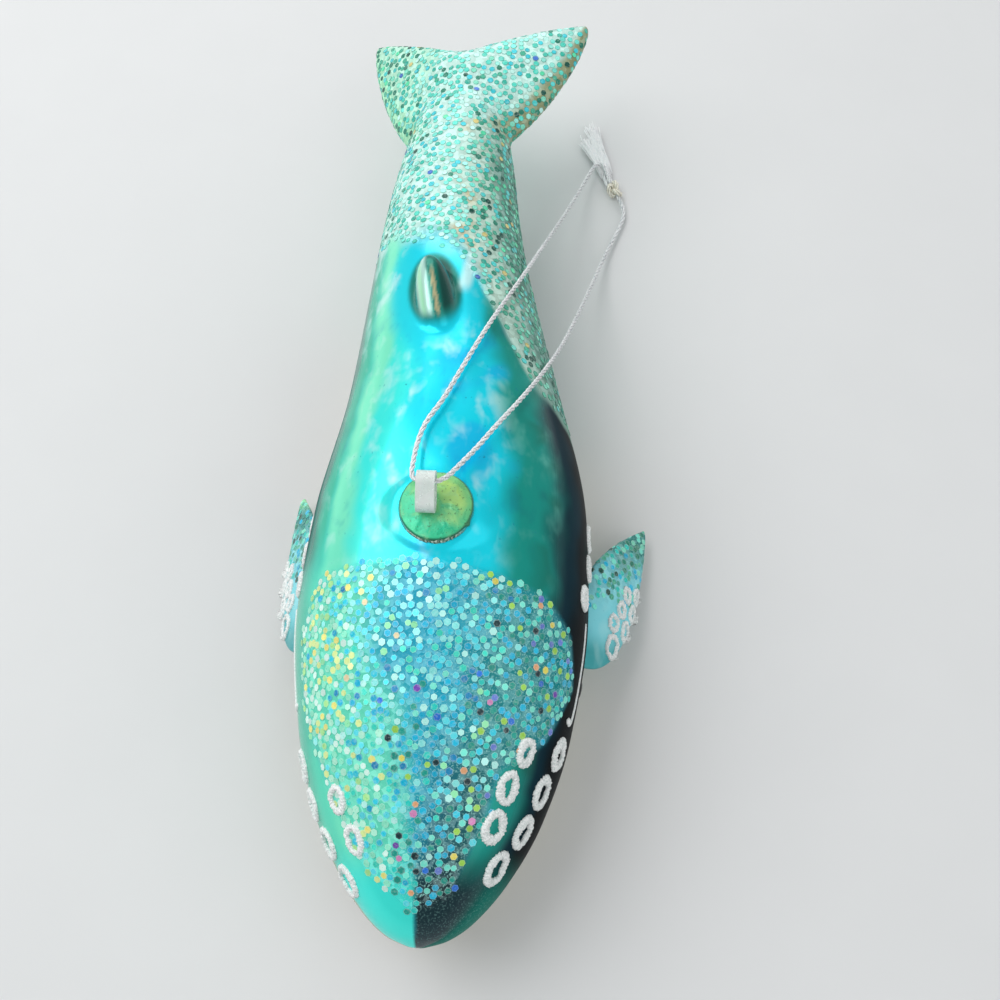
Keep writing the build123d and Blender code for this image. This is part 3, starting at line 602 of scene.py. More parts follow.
def body_paint(points):
    """Colour on the body by place: cyan back, green flanks, dark low sides of painted shade, pale belly and
    tail, with painted light and shade on the head and snout and a painted reflection band on one flank.
    """
    station, angle = hull_place(points)
    head, tail = glitter_depths(station, angle)
    soft, fine = ripple(points, SOFT_RIPPLE), ripple(points, FINE_RIPPLE, 7.0)
    lean = angle + SOFT_LEAN * soft + FINE_LEAN * fine
    fluke = moved(points, fluke_matrix().inverted())
    out = np.clip(np.abs(fluke[:, 0]) / FLUKE_HALF_SPAN, 0, 1)
    measures = dict(
        station=station, angle=angle, back=fade(42, 54, station),
        lean=lean, right=lean + 6 * fade(62, 85, station),
        fine=fine, blotch=soft + 0.6 * fine, patch=soft + fine, chin=station + 3 * soft,
        cheek=lean + 14 * fade(38, 20, station), out=out, lobe=np.sign(fluke[:, 0]),
        from_edge=fluke[:, 1] - fluke_lead(out) + 0.8 * fine,
    )
    paint = painted(linear(CYAN), SKIN_COATS, measures)
    paint = painted(paint, HEAD_COATS, measures, fade(-1.0, 1.5, head))
    paint = painted(paint, SNOUT_COATS, measures)
    return painted(paint, TAIL_COATS, measures, fade(-2.5, 2.0, tail + 1.6 * fine))


def fin_places(points):
    """Measures of places by the dorsal fin, in shares of its size."""
    middle = hull_frame(FIN_STATION + FIN_CREST, BACK_ANGLE)
    local = moved(points, middle.inverted()) / np.array([FIN_LENGTH * 0.5, FIN_WIDTH * 0.56, FIN_HEIGHT])
    along, side = local[:, 0], -local[:, 1]
    away = np.linalg.norm(local[:, :2], axis=1) + 9 * fade(-1.0, -3.0, local[:, 2])
    # The last measure places a pale streak of painted highlight beside the fin.
    return dict(along=along, side=side, away=away, highlight_streak=np.abs(side - 1.35 - 0.5 * along))


def body_masks(points, from_fin):
    """Where on the body the glitter, frost, clouds and dark low sides are, by station and angle; the dark low
    sides are painted shade.
    """
    station, angle = hull_place(points)
    head, tail = glitter_depths(station, angle)
    on_head, on_tail, ahead_of_tail = fade(*GLITTER_EDGE, head), fade(*GLITTER_EDGE, tail), fade(4, -2, tail)
    near_fin = fade(1.5, 2.0, from_fin)
    dense = 0.3 + 0.7 * fade(60, 112, angle + station - 25)
    bare = fade(118, 76, angle + 0.6 * (station - 25))
    back = fade(30, 46, angle) * (0.85 + 0.15 * fade(60, 72, angle)) * fade(156, 132, angle)
    behind_cap = 0.4 + 0.6 * fade(50, 58, station + 0.1 * np.abs(angle - 90))
    shaded_low_sides = np.maximum(fade(44, 26, angle), fade(150, 162, angle) * fade(42, 54, station))
    return dict(
        head_glitter=on_head * dense,
        tail_glitter=on_tail * near_fin * (0.4 + 0.6 * fade(88, 104, station)),
        glitter=np.maximum(on_head, on_tail) * near_fin,
        frost=on_head * bare * 0.55 + fade(10, 5, station) * fade(92, 84, angle) * 0.14,
        clouds=back * behind_cap * fade(40, 48, station) * ahead_of_tail * near_fin,
        dark=shaded_low_sides * ahead_of_tail,
    )


def body_mesh(material):
    """Hull, fluke, fin and neck seat melted into one skin, with its mouth line, paint and masks."""
    angles = np.linspace(0, 360, BODY_COLUMNS, endpoint=False)
    stations = BODY_LENGTH * np.linspace(0, 1, BODY_ROWS) ** SNOUT_CROWDING
    hull = [hull_point(np.full(len(angles), s), angles, pleat_inset(s, angles)) for s in stations]
    body = tubes("whale_body", [hull, fluke_rows(), fin_rows(), seat_rows()], material)
    melt = body.modifiers.new("melt", "REMESH")
    melt.mode = "VOXEL"
    melt.voxel_size = VOXEL * MM
    relax = body.modifiers.new("relax", "SMOOTH")
    relax.factor, relax.iterations = 0.5, SMOOTHING
    settle(body)
    points, normals = surface(body)
    station, angle = hull_place(points)
    line = np.interp(station, [m[0] for m in MOUTH], [m[1] for m in MOUTH])
    below = np.where(angle > 90, 180 - angle, angle)
    off = (below - line) * DEGREE * np.clip(station / MOUTH_SNOUT, 0.15, 1)
    groove = np.exp(-(off / MOUTH_WIDTH) ** 2) * fade(MOUTH[-1][0], MOUTH[-2][0], station)
    resting = points - normals * (MOUTH_DEPTH * groove)[:, None]
    resting[:, 2] = np.maximum(resting[:, 2], 0)
    body.data.vertices.foreach_set("co", (resting * MM).ravel())
    body.data.update()
    by_fin = fin_places(points)
    paint = painted(layer(body_paint(points), NAVY, groove * 0.9), FIN_COATS, by_fin)
    # Clouds are pale ice, darkened towards a greyer green on the low flank as painted shade.
    flank = fade(70, 56, angle + SOFT_LEAN * ripple(points, SOFT_RIPPLE))
    store(body, paint=paint, cloud_tint=layer(linear(ICE), SHADED_CLOUD, flank), **body_masks(points, by_fin["away"]))
    stands_for(body, "glass_body")
    return body


def flipper_mesh(side, material):
    """One flipper leaf with rounded edges, painted and glittered towards its tip."""
    flare, toe, reach = FLIPPERS[side]
    spread = np.sin(np.linspace(0, math.pi / 2, FLIPPER_SECTIONS))
    sections = []
    for share in [-FLIPPER_ROOT_DEPTH / FLIPPER_SPAN, *spread]:
        t = max(float(share), 0.0)
        run = reach - FLIPPER_TIP_CHORD - FLIPPER_ROOT_LEAD
        lead = FLIPPER_ROOT_LEAD + run * swell_in(t, FLIPPER_LEAD_CURVE)
        trail = FLIPPER_ROOT_TRAIL + (reach - FLIPPER_ROOT_TRAIL) * t**FLIPPER_TRAIL_CURVE
        thick = FLIPPER_ROOT_THICK + (FLIPPER_TIP_THICK - FLIPPER_ROOT_THICK) * t
        sections.append((share * FLIPPER_SPAN, lead, trail, thick, -FLIPPER_DROOP * t**FLIPPER_DROOP_CURVE))
    rows = blade(sections, FLIPPER_STEPS)
    flat = rows.reshape(-1, 3)
    root = Vector(hull_point(np.array([FLIPPER_STATION]), np.array([FLIPPER_ANGLE]))[0])
    place = Matrix.Translation(root) @ turned(toe, "Z") @ turned(90 - flare, "Y")
    if side == "right":
        place = Matrix.Diagonal((-1, 1, 1, 1)) @ place
    leaf = tubes(f"flipper_{side}", [moved(rows, place)], material)
    share = flat[:, 0] / FLIPPER_SPAN
    chord = np.array([(row - row.min()) / np.ptp(row) for row in rows[:, :, 1]]).ravel()
    soft = ripple(flat, 4.0, 3.0)
    along = (flat[:, 1] - FLIPPER_ROOT_LEAD) / (reach - FLIPPER_ROOT_LEAD)
    coats = FLIPPER_COATS + (RIGHT_TIP_COATS if side == "right" else [])
    measures = dict(along=along, chord=chord, root=along + 0.1 * soft, tip=along + 0.12 * soft)
    shine = fade(0.35, 0.6, along + 0.25 * (chord - 0.5)) * (flat[:, 2] > -FLIPPER_DROOP * share**2)
    even = np.full(len(flat), 0.3)
    store(
        leaf, paint=painted(linear(SHELL), coats, measures), cloud_tint=np.tile(linear(ICE), (len(flat), 1)),
        glitter=shine, frost=shine * 0.3, clouds=even, dark=even,
    )
    stands_for(leaf, f"{side}_flipper")
    return leaf


def drawn(palette, rng):
    """A colour drawn from a palette by its weights."""
    return rng.choices([c for c, w in palette], [w for c, w in palette])[0]


def scatter(obj, mask, count, seed):
    """Places and normals spread over an object where a mask is high, none closer than the flakes' spacing."""
    obj.data.calc_loop_triangles()
    corners = numbers(obj.data.loop_triangles, "vertices", 3, np.int32)
    values = numbers(obj.data.attributes[mask].data, "value", 1)[:, 0].astype(float)
    points, normals = surface(obj)
    a, b, c = (points[corners[:, k]] for k in range(3))
    area = np.linalg.norm(np.cross(b - a, c - a), axis=1) / 2
    weight = area * values[corners].mean(axis=1)
    draw = np.random.default_rng(seed)
    picks = draw.choice(len(corners), size=count * FLAKE_TRIES, p=weight / weight.sum())
    mix = draw.dirichlet((1, 1, 1), size=len(picks))
    spots, outs = (np.einsum("nk,nkd->nd", mix, rows[corners[picks]]) for rows in (points, normals))
    near = (-1, 0, 1)
    taken, kept = {}, []
    for spot, out in zip(spots, outs):
        x, y, z = np.floor(spot / FLAKE_SPACING).astype(int)
        around = [(x + i, y + j, z + k) for i in near for j in near for k in near]
        others = [other for cell in around for other in taken.get(cell, ())]
        if any(np.linalg.norm(spot - other) < FLAKE_SPACING for other in others):
            continue
        taken.setdefault((x, y, z), []).append(spot)
        kept.append((spot, out / np.linalg.norm(out)))
        if len(kept) == count:
            break
    return kept


def flakes(name, spots, colour_at, rim, tree, material, seed):
    """Thin hexagons lying close on a surface, each with its own colour and turn and a tinted rim."""
    rng = random.Random(seed)
    points, faces, colours = [], [], []
    for spot, out in spots:
        out = Vector(out)
        first = out.orthogonal().normalized()
        first.rotate(Quaternion(out, rng.uniform(0, math.tau)))
        second = out.cross(first)
        radius = FLAKE_RADIUS * rng.uniform(*FLAKE_SIZES)
        lift = rng.uniform(*FLAKE_LIFTS)
        slope = math.tan(math.radians(rng.gauss(0, FLAKE_TILT)))
        shade = linear(colour_at(spot, rng)) * rng.uniform(*FLAKE_SHADES)
        edge = shade + (linear(rim[0]) - shade) * rim[1] * rng.uniform(*RIM_SHADES)
        rings = []
        for share, height, tint in (
            (FLAKE_RIM, FLAKE_THICK, shade), (1.0, FLAKE_THICK, edge), (1.0, -FLAKE_THICK, edge),
        ):
            rings.append(range(len(points), len(points) + FLAKE_CORNERS))
            for turn in turns(FLAKE_CORNERS):
                arm = spoke(first, second, turn) * radius * share
                under = tree.find_nearest((Vector(spot) + arm) * MM)[0] / MM
                raised = lift + height + slope * math.cos(turn) * radius * share
                points.append((under + out * max(raised, -FLAKE_THICK)) * MM)
                colours.append(tint)
        faces.append(list(rings[0]))
        for inner, outer in zip(rings, rings[1:]):
            for k in range(FLAKE_CORNERS):
                n = (k + 1) % FLAKE_CORNERS
                faces.append([inner[k], outer[k], outer[n], inner[n]])
        faces.append(list(reversed(rings[-1])))
    mesh = bpy.data.meshes.new(name)
    mesh.from_pydata(points, [], faces)
    mesh.materials.append(material)
    made = linked(name, mesh)
    store(made, flake=np.array(colours))
    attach(made, ORNAMENT)


def head_colour(spot, rng):
    """Flake colour on the head: warm on its right, pale on top, deep on its left and snout."""
    station, angle = place_of(spot)
    warm = max(fade(108, 136, angle) * 0.85, fade(30, 14, station) * fade(96, 112, angle) * 0.6)
    low = max(fade(26, 10, station) * 0.85, fade(36, 24, station) * 0.45) * fade(114, 94, angle)
    deep = max(fade(80, 52, angle), low)
    if rng.random() < warm:
        return drawn(WARM_FLAKES, rng)
    return drawn(DEEP_FLAKES if rng.random() < deep else PALE_FLAKES, rng)


def tail_colour(spot, rng):
    """Flake colour on the tail: pale on top, deep on the left, below and at the fluke's front."""
    station, angle = place_of(spot)
    deep = max(fade(70, 40, angle) * fade(132, 122, station), fade(170, 200, angle), 0.07)
    if station > LOBES[0]:
        local = moved(np.array([spot]), fluke_matrix().inverted())[0]
        share = min(abs(local[0]) / FLUKE_HALF_SPAN, 1.0)
        deep = max(deep, fade(5.0, 2.0, local[1] - fluke_lead(share)) * 0.8)
    return drawn(TAIL_DEEP_FLAKES if rng.random() < deep else TAIL_PALE_FLAKES, rng)


def flipper_colour(spot, rng):
    """Flake colour on the flippers."""
    return drawn(DEEP_FLAKES[:4] + TAIL_DEEP_FLAKES[:4], rng)


def ring_frames(node):
    """Middle, three directions and half sizes in millimetres of each ring in a solid node."""
    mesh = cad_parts[node].data
    keys = [tuple(round(c / MM * 1000) for c in v.co) for v in mesh.vertices]
    parent = {key: key for key in keys}

    def top(key):
        while parent[key] != key:
            key = parent[key]
        return key

    for edge in mesh.edges:
        first, second = (top(keys[i]) for i in edge.vertices)
        parent[first] = second
    groups = {}
    for key in parent:
        groups.setdefault(top(key), []).append(key)
    frames = []
    for group in groups.values():
        points = np.array(group) / 1000
        middle = (points.max(axis=0) + points.min(axis=0)) / 2
        out = Vector(np.linalg.eigh(np.cov((points - middle).T))[1][:, 0])
        if out.dot(Vector(middle) - Vector((0, middle[1], BODY_HEIGHT / 2))) < 0:
            out = -out
        along = hull_frame(*place_of(middle)).col[0].to_3d()
        long = (along - out * along.dot(out)).normalized()
        short = out.cross(long)
        sizes = [float(np.abs((points - middle) @ np.array(way)).max()) for way in (long, short)]
        frames.append((Vector(middle), long, short, out, (sizes[0] * RING_LONG, sizes[1] * RING_SHORT)))
    return sorted(frames, key=lambda ring: ring[0].y)


def surface_hit(tree, spot, out):
    """Point of a surface under a spot, looking in along a direction, in millimetres."""
    hit = tree.ray_cast((spot + out * PROBE_FROM) * MM, -out, PROBE_REACH * MM)[0]
    return hit / MM if hit else spot


def ring_mesh(node, tree, material):
    """Grainy piped rings, a little uneven, lying on the surface under the solid ones."""
    stroke, rise, steps = RINGS[node]
    rings = []
    for middle, long, short, out, half in ring_frames(node):
        rows = []
        for turn in turns(steps):
            around = spoke(ACROSS, ALONG, turn)
            uneven = RING_WOBBLE * noise.noise(around * 1.3 + middle)
            width = stroke * (1 + RING_SWELL * noise.noise(around * 1.1 + middle * 2)) / 2
            row = []
            for lift in turns(RING_SECTION):
                offset = width * math.cos(lift) - width + uneven
                flat = long * ((half[0] + offset) * around.x) + short * ((half[1] + offset) * around.y)
                spot = surface_hit(tree, middle + flat, out)
                grain = grain_at(spot, RING_GRAIN)
                height = (rise + grain if math.sin(lift) > 0 else RING_SINK) * math.sin(lift)
                spread = (grain + grain_at(spot, RING_FUZZ)) * math.cos(lift)
                row.append(spot + out * height + flat.normalized() * spread)
            rows.append(row)
        rings.append(rows)
    stands_for(tubes(f"piped_{node}", rings, material, closed=True), node)


def nurbs_points(route, per_span):
    """Points in millimetres along a smooth line that a route controls."""
    curve = bpy.data.curves.new("line", "CURVE")
    curve.dimensions = "3D"
    spline = curve.splines.new("NURBS")
    spline.points.add(len(route) - 1)
    for point, spot in zip(spline.points, route):
        point.co = (*(Vector(spot) * MM), 1.0)
    spline.order_u = 3
    spline.use_endpoint_u = True
    spline.resolution_u = per_span
    holder = linked("line", curve)
    mesh = bpy.data.meshes.new_from_object(holder)
    spots = [v.co / MM for v in mesh.vertices]
    bpy.data.objects.remove(holder)
    bpy.data.curves.remove(curve)
    bpy.data.meshes.remove(mesh)
    return spots


def carried_frames(path):
    """Two directions square to a path at each point, carried along without twist, and the length so far."""
    frames, length = [], 0.0
    first = (path[1] - path[0]).orthogonal().normalized()
    for i, spot in enumerate(path):
        ahead = (path[min(i + 1, len(path) - 1)] - path[max(i - 1, 0)]).normalized()
        first = (first - ahead * first.dot(ahead)).normalized()
        if i:
            length += (spot - path[i - 1]).length
        frames.append((first.copy(), ahead.cross(first), length))
    return frames


def line_rows(path, radius, sides):
    """Rows of points round a path; the radius is a function of the share of the path."""
    rows = []
    for i, (first, second, length) in enumerate(carried_frames(path)):
        size = radius(i / (len(path) - 1))
        rows.append([path[i] + spoke(first, second, turn) * size for turn in turns(sides)])
    return rows


def add_rope(bm, path, scale=1.0):
    """Adds strands twisted round a path, and notes how far out on the rope each vertex lies, which the
    thread's material uses for painted shade between the strands.
    """
    crown = bm.verts.layers.float.get("crown") or bm.verts.layers.float.new("crown")
    radius = STRAND_RADIUS * scale
    offset = CORD_DIAMETER / 2 * scale - radius
    for strand in range(CORD_STRANDS):
        rows = []
        for spot, (first, second, length) in zip(path, carried_frames(path)):
            turn = math.tau * (length / CORD_PITCH + strand / CORD_STRANDS)
            out = spoke(first, second, turn)
            side = second * math.cos(turn) - first * math.sin(turn)
            rows.append([spot + out * offset + spoke(out, side, a) * radius for a in turns(STRAND_SIDES)])
        for ring in add_tube(bm, rows):
            for vert, a in zip(ring, turns(STRAND_SIDES)):
                vert[crown] = (1 + math.cos(a)) / 2


def throat_line(side, tree, material):
    """Thin piped line along one side, hooked at its front with a drop of paint."""
    flip = Vector((-1, 1, 1)) if side == "right" else Vector((1, 1, 1))
    route = [Vector(p) * flip for p in hull_point(THROAT_LINE[:, 0], THROAT_LINE[:, 1])]
    path = [tree.find_nearest(spot * MM)[0] / MM for spot in nurbs_points(route, LINE_SPAN_STEPS)]

    def radius(share):
        drop = math.exp(-((share - BLOB_AT) / BLOB_SPREAD) ** 2)
        return LINE_RADIUS * (LINE_THIN + LINE_TAPER * share) + (LINE_BLOB - LINE_RADIUS) * drop

    piece = tubes(f"piped_line_{side}", [line_rows(path, radius, LINE_SIDES)], material)
    stands_for(piece, f"{side}_throat_line")


def eye(side, tree, material):
    """Domed enamel dot on one side of the head."""
    low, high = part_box(f"{side}_eye")
    middle = (low + high) / 2 / MM
    out = (middle - Vector((0, middle.y, middle.z))).normalized()
    first = out.orthogonal().normalized()
    second = out.cross(first)
    rows = []
    for share in np.linspace(1.0, 0.04, EYE_RINGS):
        dome = out * (EYE_RISE * math.sqrt(1 - float(share) ** 2) - EYE_SINK)
        flats = [spoke(first, second, turn) * EYE_RADIUS * float(share) for turn in turns(EYE_STEPS)]
        rows.append([surface_hit(tree, middle + flat, out) + dome for flat in flats])
    stands_for(tubes(f"eye_{side}", [rows], material), f"{side}_eye")


def cap_mesh(material):
    """Crowned cap with an uneven rim and a small pointed flap."""
    shares = [float(share) for share in np.linspace(*CAP_SHARES, CAP_RINGS)]
    crown = [(share, CAP_CROWN - (CAP_CROWN - CAP_EDGE) * share**2) for share in shares]
    rows = []
    for share, height in CAP_RIM + crown:
        row = []
        for turn in turns(CAP_STEPS):
            around = spoke(ACROSS, ALONG, turn)
            off = (math.degrees(turn) - FLAP_ANGLE + 180) % 360 - 180
            flap = FLAP_REACH * math.exp(-((off / FLAP_SPREAD) ** 2))
            flat = around * (CAP_RADIUS * share + share**6 * (RIM_WOBBLE * noise.noise(around * 2.3) + flap))
            wave = grain_at(flat, CAP_WAVES) if height > CAP_WAVES_FROM else 0.0
            row.append(flat + UP * (SEAT_TOP + height + wave))
        rows.append(row)
    stands_for(tubes("cap_disc", [rows], material), "cap")


def bead_mesh(material):
    """Dried glue round the cap, thick and grainy on the side towards the head."""
    rows = []
    for turn in turns(BEAD_STEPS):
        around = spoke(ACROSS, ALONG, turn)
        front = max(0.0, math.cos(turn - math.radians(BEAD_FRONT))) ** 2
        size = BEAD_RADIUS * (BEAD_THIN + BEAD_SWELL * front + BEAD_UNEVEN * noise.noise(around * 4))
        row = []
        for lift in turns(BEAD_SIDES):
            height = SEAT_TOP + size * BEAD_FLATNESS * math.sin(lift)
            spot = around * (CAP_RADIUS + size * math.cos(lift)) + UP * height
            row.append(spot + spoke(around, UP, lift) * grain_at(spot, BEAD_GRAIN) * (0.4 + front))
        rows.append(row)
    stands_for(tubes("glue_bead", [rows], material, closed=True), "cap_bead")


def knot_path():
    """Line of the knot's wraps, in millimetres."""
    start, end = Vector(KNOT_FROM), Vector(KNOT_TO)
    axis = (end - start).normalized()
    side = axis.cross(UP).normalized()
    up = side.cross(axis)
    reach = (end - start).length / 2
    path = []
    for k in range(KNOT_STEPS + 1):
        turn = math.tau * k / KNOT_STEPS
        along = axis * (math.sin(2 * turn) * KNOT_CROSSING + math.sin(turn) * KNOT_LEAN) * reach * KNOT_LONG
        wide = side * ((math.cos(turn) - 2 * math.cos(2 * turn)) / 3 * KNOT_WIDE)
        path.append((start + end) / 2 + along + wide - up * math.sin(3 * turn) * KNOT_HIGH)
    return path


def add_fray(bm, strand, fray, rng):
    """Adds loose fibres that run out past the end of a strand."""
    ahead = (strand[-1] - strand[-2]).normalized()
    for fibre in range(FRAY_FIBRES):
        root = rng.choice(strand[len(strand) // 4:])
        root = root + Vector([rng.uniform(*limits) for limits in FRAY_ROOT])
        length = (strand[-1] - root).length + fray * rng.uniform(0.5, 1.0)
        spread = Vector([rng.gauss(0, size) for size in FRAY_SPREAD])
        curl = Vector((rng.gauss(0, FRAY_CURL), rng.gauss(0, FRAY_CURL), 0))
        line = []
        for step in range(FIBRE_STEPS + 1):
            s = step / FIBRE_STEPS
            spot = root + ahead * length * s + spread * s * s + curl * math.sin(s * 6)
            spot.z = max(spot.z, FIBRE_LOWEST)
            line.append(spot)
        add_tube(bm, line_rows(line, lambda s: FIBRE_RADIUS * (1 - 0.4 * s), FIBRE_SIDES))


def cord_pieces(material, knot_material, fray_material):
    """Twisted cord through the hanger loop, with its knot and frayed ends."""
    path = nurbs_points(ROUTE, CORD_SPAN_STEPS)
    bm = bmesh.new()
    add_rope(bm, path)
    cord = finished("silver_cord", bm, material)
    bm = bmesh.new()
    add_rope(bm, knot_path(), KNOT_ROPE)
    knot = finished("cord_knot_wraps", bm, knot_material)
    rng = random.Random(FRAY_SEED)
    bm = bmesh.new()
    for route, fray in zip(TAIL_ROUTES, TAIL_FRAY):
        strand = nurbs_points(route, LINE_SPAN_STEPS)
        add_rope(bm, strand)
        add_fray(bm, strand, fray, rng)
    tails = finished("cord_frayed_ends", bm, fray_material)
    for piece, node in ((cord, "cord_loop"), (knot, "cord_knot"), (tails, "cord_tails")):
        stands_for(piece, node, LOOP)


def new_material(name):
    """Material and its node tree."""
    material = bpy.data.materials.new(name)
    material.use_nodes = True
    return material, material.node_tree


def put(tree, socket, value):
    """Links a socket to another one, or sets its value, which may be a written colour."""
    if isinstance(value, bpy.types.NodeSocket):
        tree.links.new(value, socket)
    else:
        socket.default_value = (*linear(value), 1.0) if isinstance(value, str) else value


def add(tree, kind, inputs, **settings):
    """Node of a kind, with sockets linked or set."""
    made = tree.nodes.new(kind)
    for key, value in settings.items():
        setattr(made, key, value)
    for key, value in inputs.items():
        put(tree, made.inputs[key], value)
    return made


def mixed(tree, factor, first, second, blend="MIX"):
    """Colour between two colours."""
    inputs = {0: factor, 6: first, 7: second}
    return add(tree, "ShaderNodeMix", inputs, data_type="RGBA", blend_type=blend).outputs[2]


def maths(tree, operation, first, second):
    """Result of one sum on two values."""
    return add(tree, "ShaderNodeMath", {0: first, 1: second}, operation=operation).outputs[0]


def ranged(tree, value, low, high, to_low=0.0, to_high=1.0):
    """Value carried smoothly from one range to another."""
    inputs = {0: value, 1: low, 2: high, 3: to_low, 4: to_high}
    return add(tree, "ShaderNodeMapRange", inputs, interpolation_type="SMOOTHSTEP").outputs[0]


def attribute(tree, name, output="Fac"):
    """Output of an attribute stored on the mesh."""
    return add(tree, "ShaderNodeAttribute", {}, attribute_name=name).outputs[output]


def placed(tree, scale):
    """Object coordinates, in features for each metre: one number, or one each along X, Y and Z."""
    scale = scale if isinstance(scale, tuple) else (scale, scale, scale)
    coordinates = add(tree, "ShaderNodeTexCoord", {}).outputs["Object"]
    return add(tree, "ShaderNodeMapping", {"Vector": coordinates, "Scale": scale}).outputs[0]


def clouds(tree, scale, detail, rough=0.55, distortion=0.0):
    """Noise value with features of a size set by the scale."""
    inputs = {"Scale": 1.0, "Detail": detail, "Roughness": rough, "Distortion": distortion}
    return add(tree, "ShaderNodeTexNoise", {"Vector": placed(tree, scale), **inputs}).outputs[0]


def shaded(material, sockets, bump=None):
    """Sets or links sockets of a material's shader; a bump is a height, a strength and a distance."""
    tree = material.node_tree
    if bump:
        inputs = dict(zip(("Height", "Strength", "Distance"), bump))
        sockets = {"Normal": add(tree, "ShaderNodeBump", inputs).outputs[0], **sockets}
    for name, value in sockets.items():
        put(tree, tree.nodes["Principled BSDF"].inputs[name], value)
    return material


def lacquer():
    """Clear colour over silver: airbrushed clouds, and a grainy underlayer where the glitter lies."""
    material, tree = new_material("lacquered_glass")
    glitter, cloudy, dark = (attribute(tree, name) for name in ("glitter", "clouds", "dark"))
    wide = maths(tree, "MULTIPLY", clouds(tree, (190, 120, 190), 2.5, 0.5, 0.5), 0.62)
    narrow = maths(tree, "MULTIPLY", clouds(tree, (430, 300, 430), 2.0, 0.5, 0.3), 0.38)
    both = maths(tree, "ADD", wide, narrow)
    dust = clouds(tree, (1500, 1300, 1500), 2.0, 0.6)

    def veil(value, start, full, strength):
        shows = maths(tree, "MULTIPLY", cloudy, strength)
        return maths(tree, "MULTIPLY", ranged(tree, value, start, full), shows)

    paint, tint = attribute(tree, "paint", "Color"), attribute(tree, "cloud_tint", "Color")
    colour = mixed(tree, veil(both, 0.5, 0.72, 0.8), paint, tint)
    blue = mixed(tree, 1.0, colour, "#8CC0E8", "MULTIPLY")
    colour = mixed(tree, veil(both, 0.46, 0.3, 0.5), colour, blue)
    colour = mixed(tree, veil(dust, 0.68, 0.76, 0.6), colour, "#0B7F9C")
    cells = add(tree, "ShaderNodeTexVoronoi", {"Vector": placed(tree, 1000), "Scale": 1.25})
    grain = clouds(tree, 3800, 2.0, 0.6)
    tone = add(tree, "ShaderNodeSeparateColor", {0: cells.outputs["Color"]}).outputs[0]
    deep, lit = mixed(tree, 0.3, colour, INK), mixed(tree, 0.2, colour, ICE)
    light = mixed(tree, ranged(tree, tone, 0.2, 0.95), deep, lit)
    colour = mixed(tree, maths(tree, "MULTIPLY", glitter, 0.8), colour, light)
    frost = maths(tree, "MULTIPLY", ranged(tree, grain, 0.52, 0.66), attribute(tree, "frost"))
    # The dark mask is highest where the body's low sides are painted shade; there the lacquer is less
    # metallic, rougher and less glossy.
    gloss = maths(tree, "MAXIMUM", glitter, dark)
    height = maths(tree, "MULTIPLY", maths(tree, "ADD", cells.outputs["Distance"], grain), glitter)
    return shaded(material, {
        "Base Color": mixed(tree, frost, colour, "#A8E8E0"),
        "Metallic": ranged(tree, gloss, 0.0, 1.0, 0.35, 0.0),
        "Roughness": ranged(tree, gloss, 0.0, 1.0, 0.24, 0.48),
        "Specular IOR Level": ranged(tree, dark, 0.0, 0.8, 0.3, 0.05),
        "Coat Weight": ranged(tree, gloss, 0.0, 1.0, 0.12, 0.0),
        "Coat Roughness": 0.05,
    }, bump=(height, 0.5, 0.00012))


def glitter_flake():
    """Metallised hexagons, each in its own colour."""
    material, tree = new_material("glitter_flake")
    sparkle = clouds(tree, 2600, 2.0)
    glint = ranged(tree, sparkle, 0.48, 0.7, 0.0, 0.16)
    return shaded(material, {
        "Base Color": mixed(tree, glint, attribute(tree, "flake", "Color"), "#F2FFFA"),
        "Metallic": 0.2,
        "Roughness": ranged(tree, sparkle, 0.3, 0.7, 0.25, 0.45),
    })


def white_enamel():
    """Relief paint with sugary grain."""
    material, tree = new_material("white_enamel")
    grain = clouds(tree, 4200, 3.0, 0.65)
    return shaded(material, {
        "Base Color": mixed(tree, ranged(tree, grain, 0.36, 0.6), "#D8E4E0", "#FFFFFE"),
        "Roughness": ranged(tree, grain, 0.4, 0.65, 0.55, 0.28),
    }, bump=(grain, 0.7, 0.00012))


def black_enamel():
    """Glossy black dot."""
    material, tree = new_material("black_enamel")
    haze = clouds(tree, 900, 3.0)
    return shaded(material, {
        "Base Color": mixed(tree, haze, "#050709", "#10161A"),
        "Roughness": ranged(tree, haze, 0.3, 0.7, 0.08, 0.18),
    })


def cap_lacquer():
    """Yellow-green clear lacquer over metal, emerald towards the rim, mottled and speckled, with painted
    shade in a dark band at the very edge.
    """
    material, tree = new_material("cap_lacquer")
    spot = add(tree, "ShaderNodeSeparateXYZ", {0: placed(tree, 1000)})
    right = maths(tree, "MULTIPLY", spot.outputs[0], 0.1)
    back = maths(tree, "MULTIPLY", spot.outputs[1], 0.13)
    mottle = clouds(tree, 420, 4.0, 0.6, 0.8)
    patch = maths(tree, "MULTIPLY", maths(tree, "SUBTRACT", mottle, 0.5), 1.8)
    warm = maths(tree, "ADD", maths(tree, "ADD", right, back), patch)
    flat = add(tree, "ShaderNodeCombineXYZ", {0: spot.outputs[0], 1: spot.outputs[1]})
    out = add(tree, "ShaderNodeVectorMath", {0: flat.outputs[0]}, operation="LENGTH").outputs["Value"]
    specks = clouds(tree, 3000, 2.0)
    colour = mixed(tree, ranged(tree, warm, -0.6, 0.9), "#1EC494", "#B8DC70")
    # The dark green band at the very edge is painted shade of the rim.
    for value, start, full, strength, tint in (
        (out, 3.2, 4.6, 0.6, "#2FC088"), (out, 4.6, 4.9, 0.75, "#0C4A34"),
        (mottle, 0.54, 0.72, 0.5, "#94D89C"), (specks, 0.62, 0.7, 0.6, "#2A4A24"),
    ):
        colour = mixed(tree, ranged(tree, value, start, full, 0.0, strength), colour, tint)
    return shaded(material, {
        "Base Color": colour,
        "Metallic": 0.25,
        "Roughness": ranged(tree, mottle, 0.35, 0.65, 0.25, 0.5),
        "Coat Weight": 0.3,
    }, bump=(specks, 0.3, 0.0001))


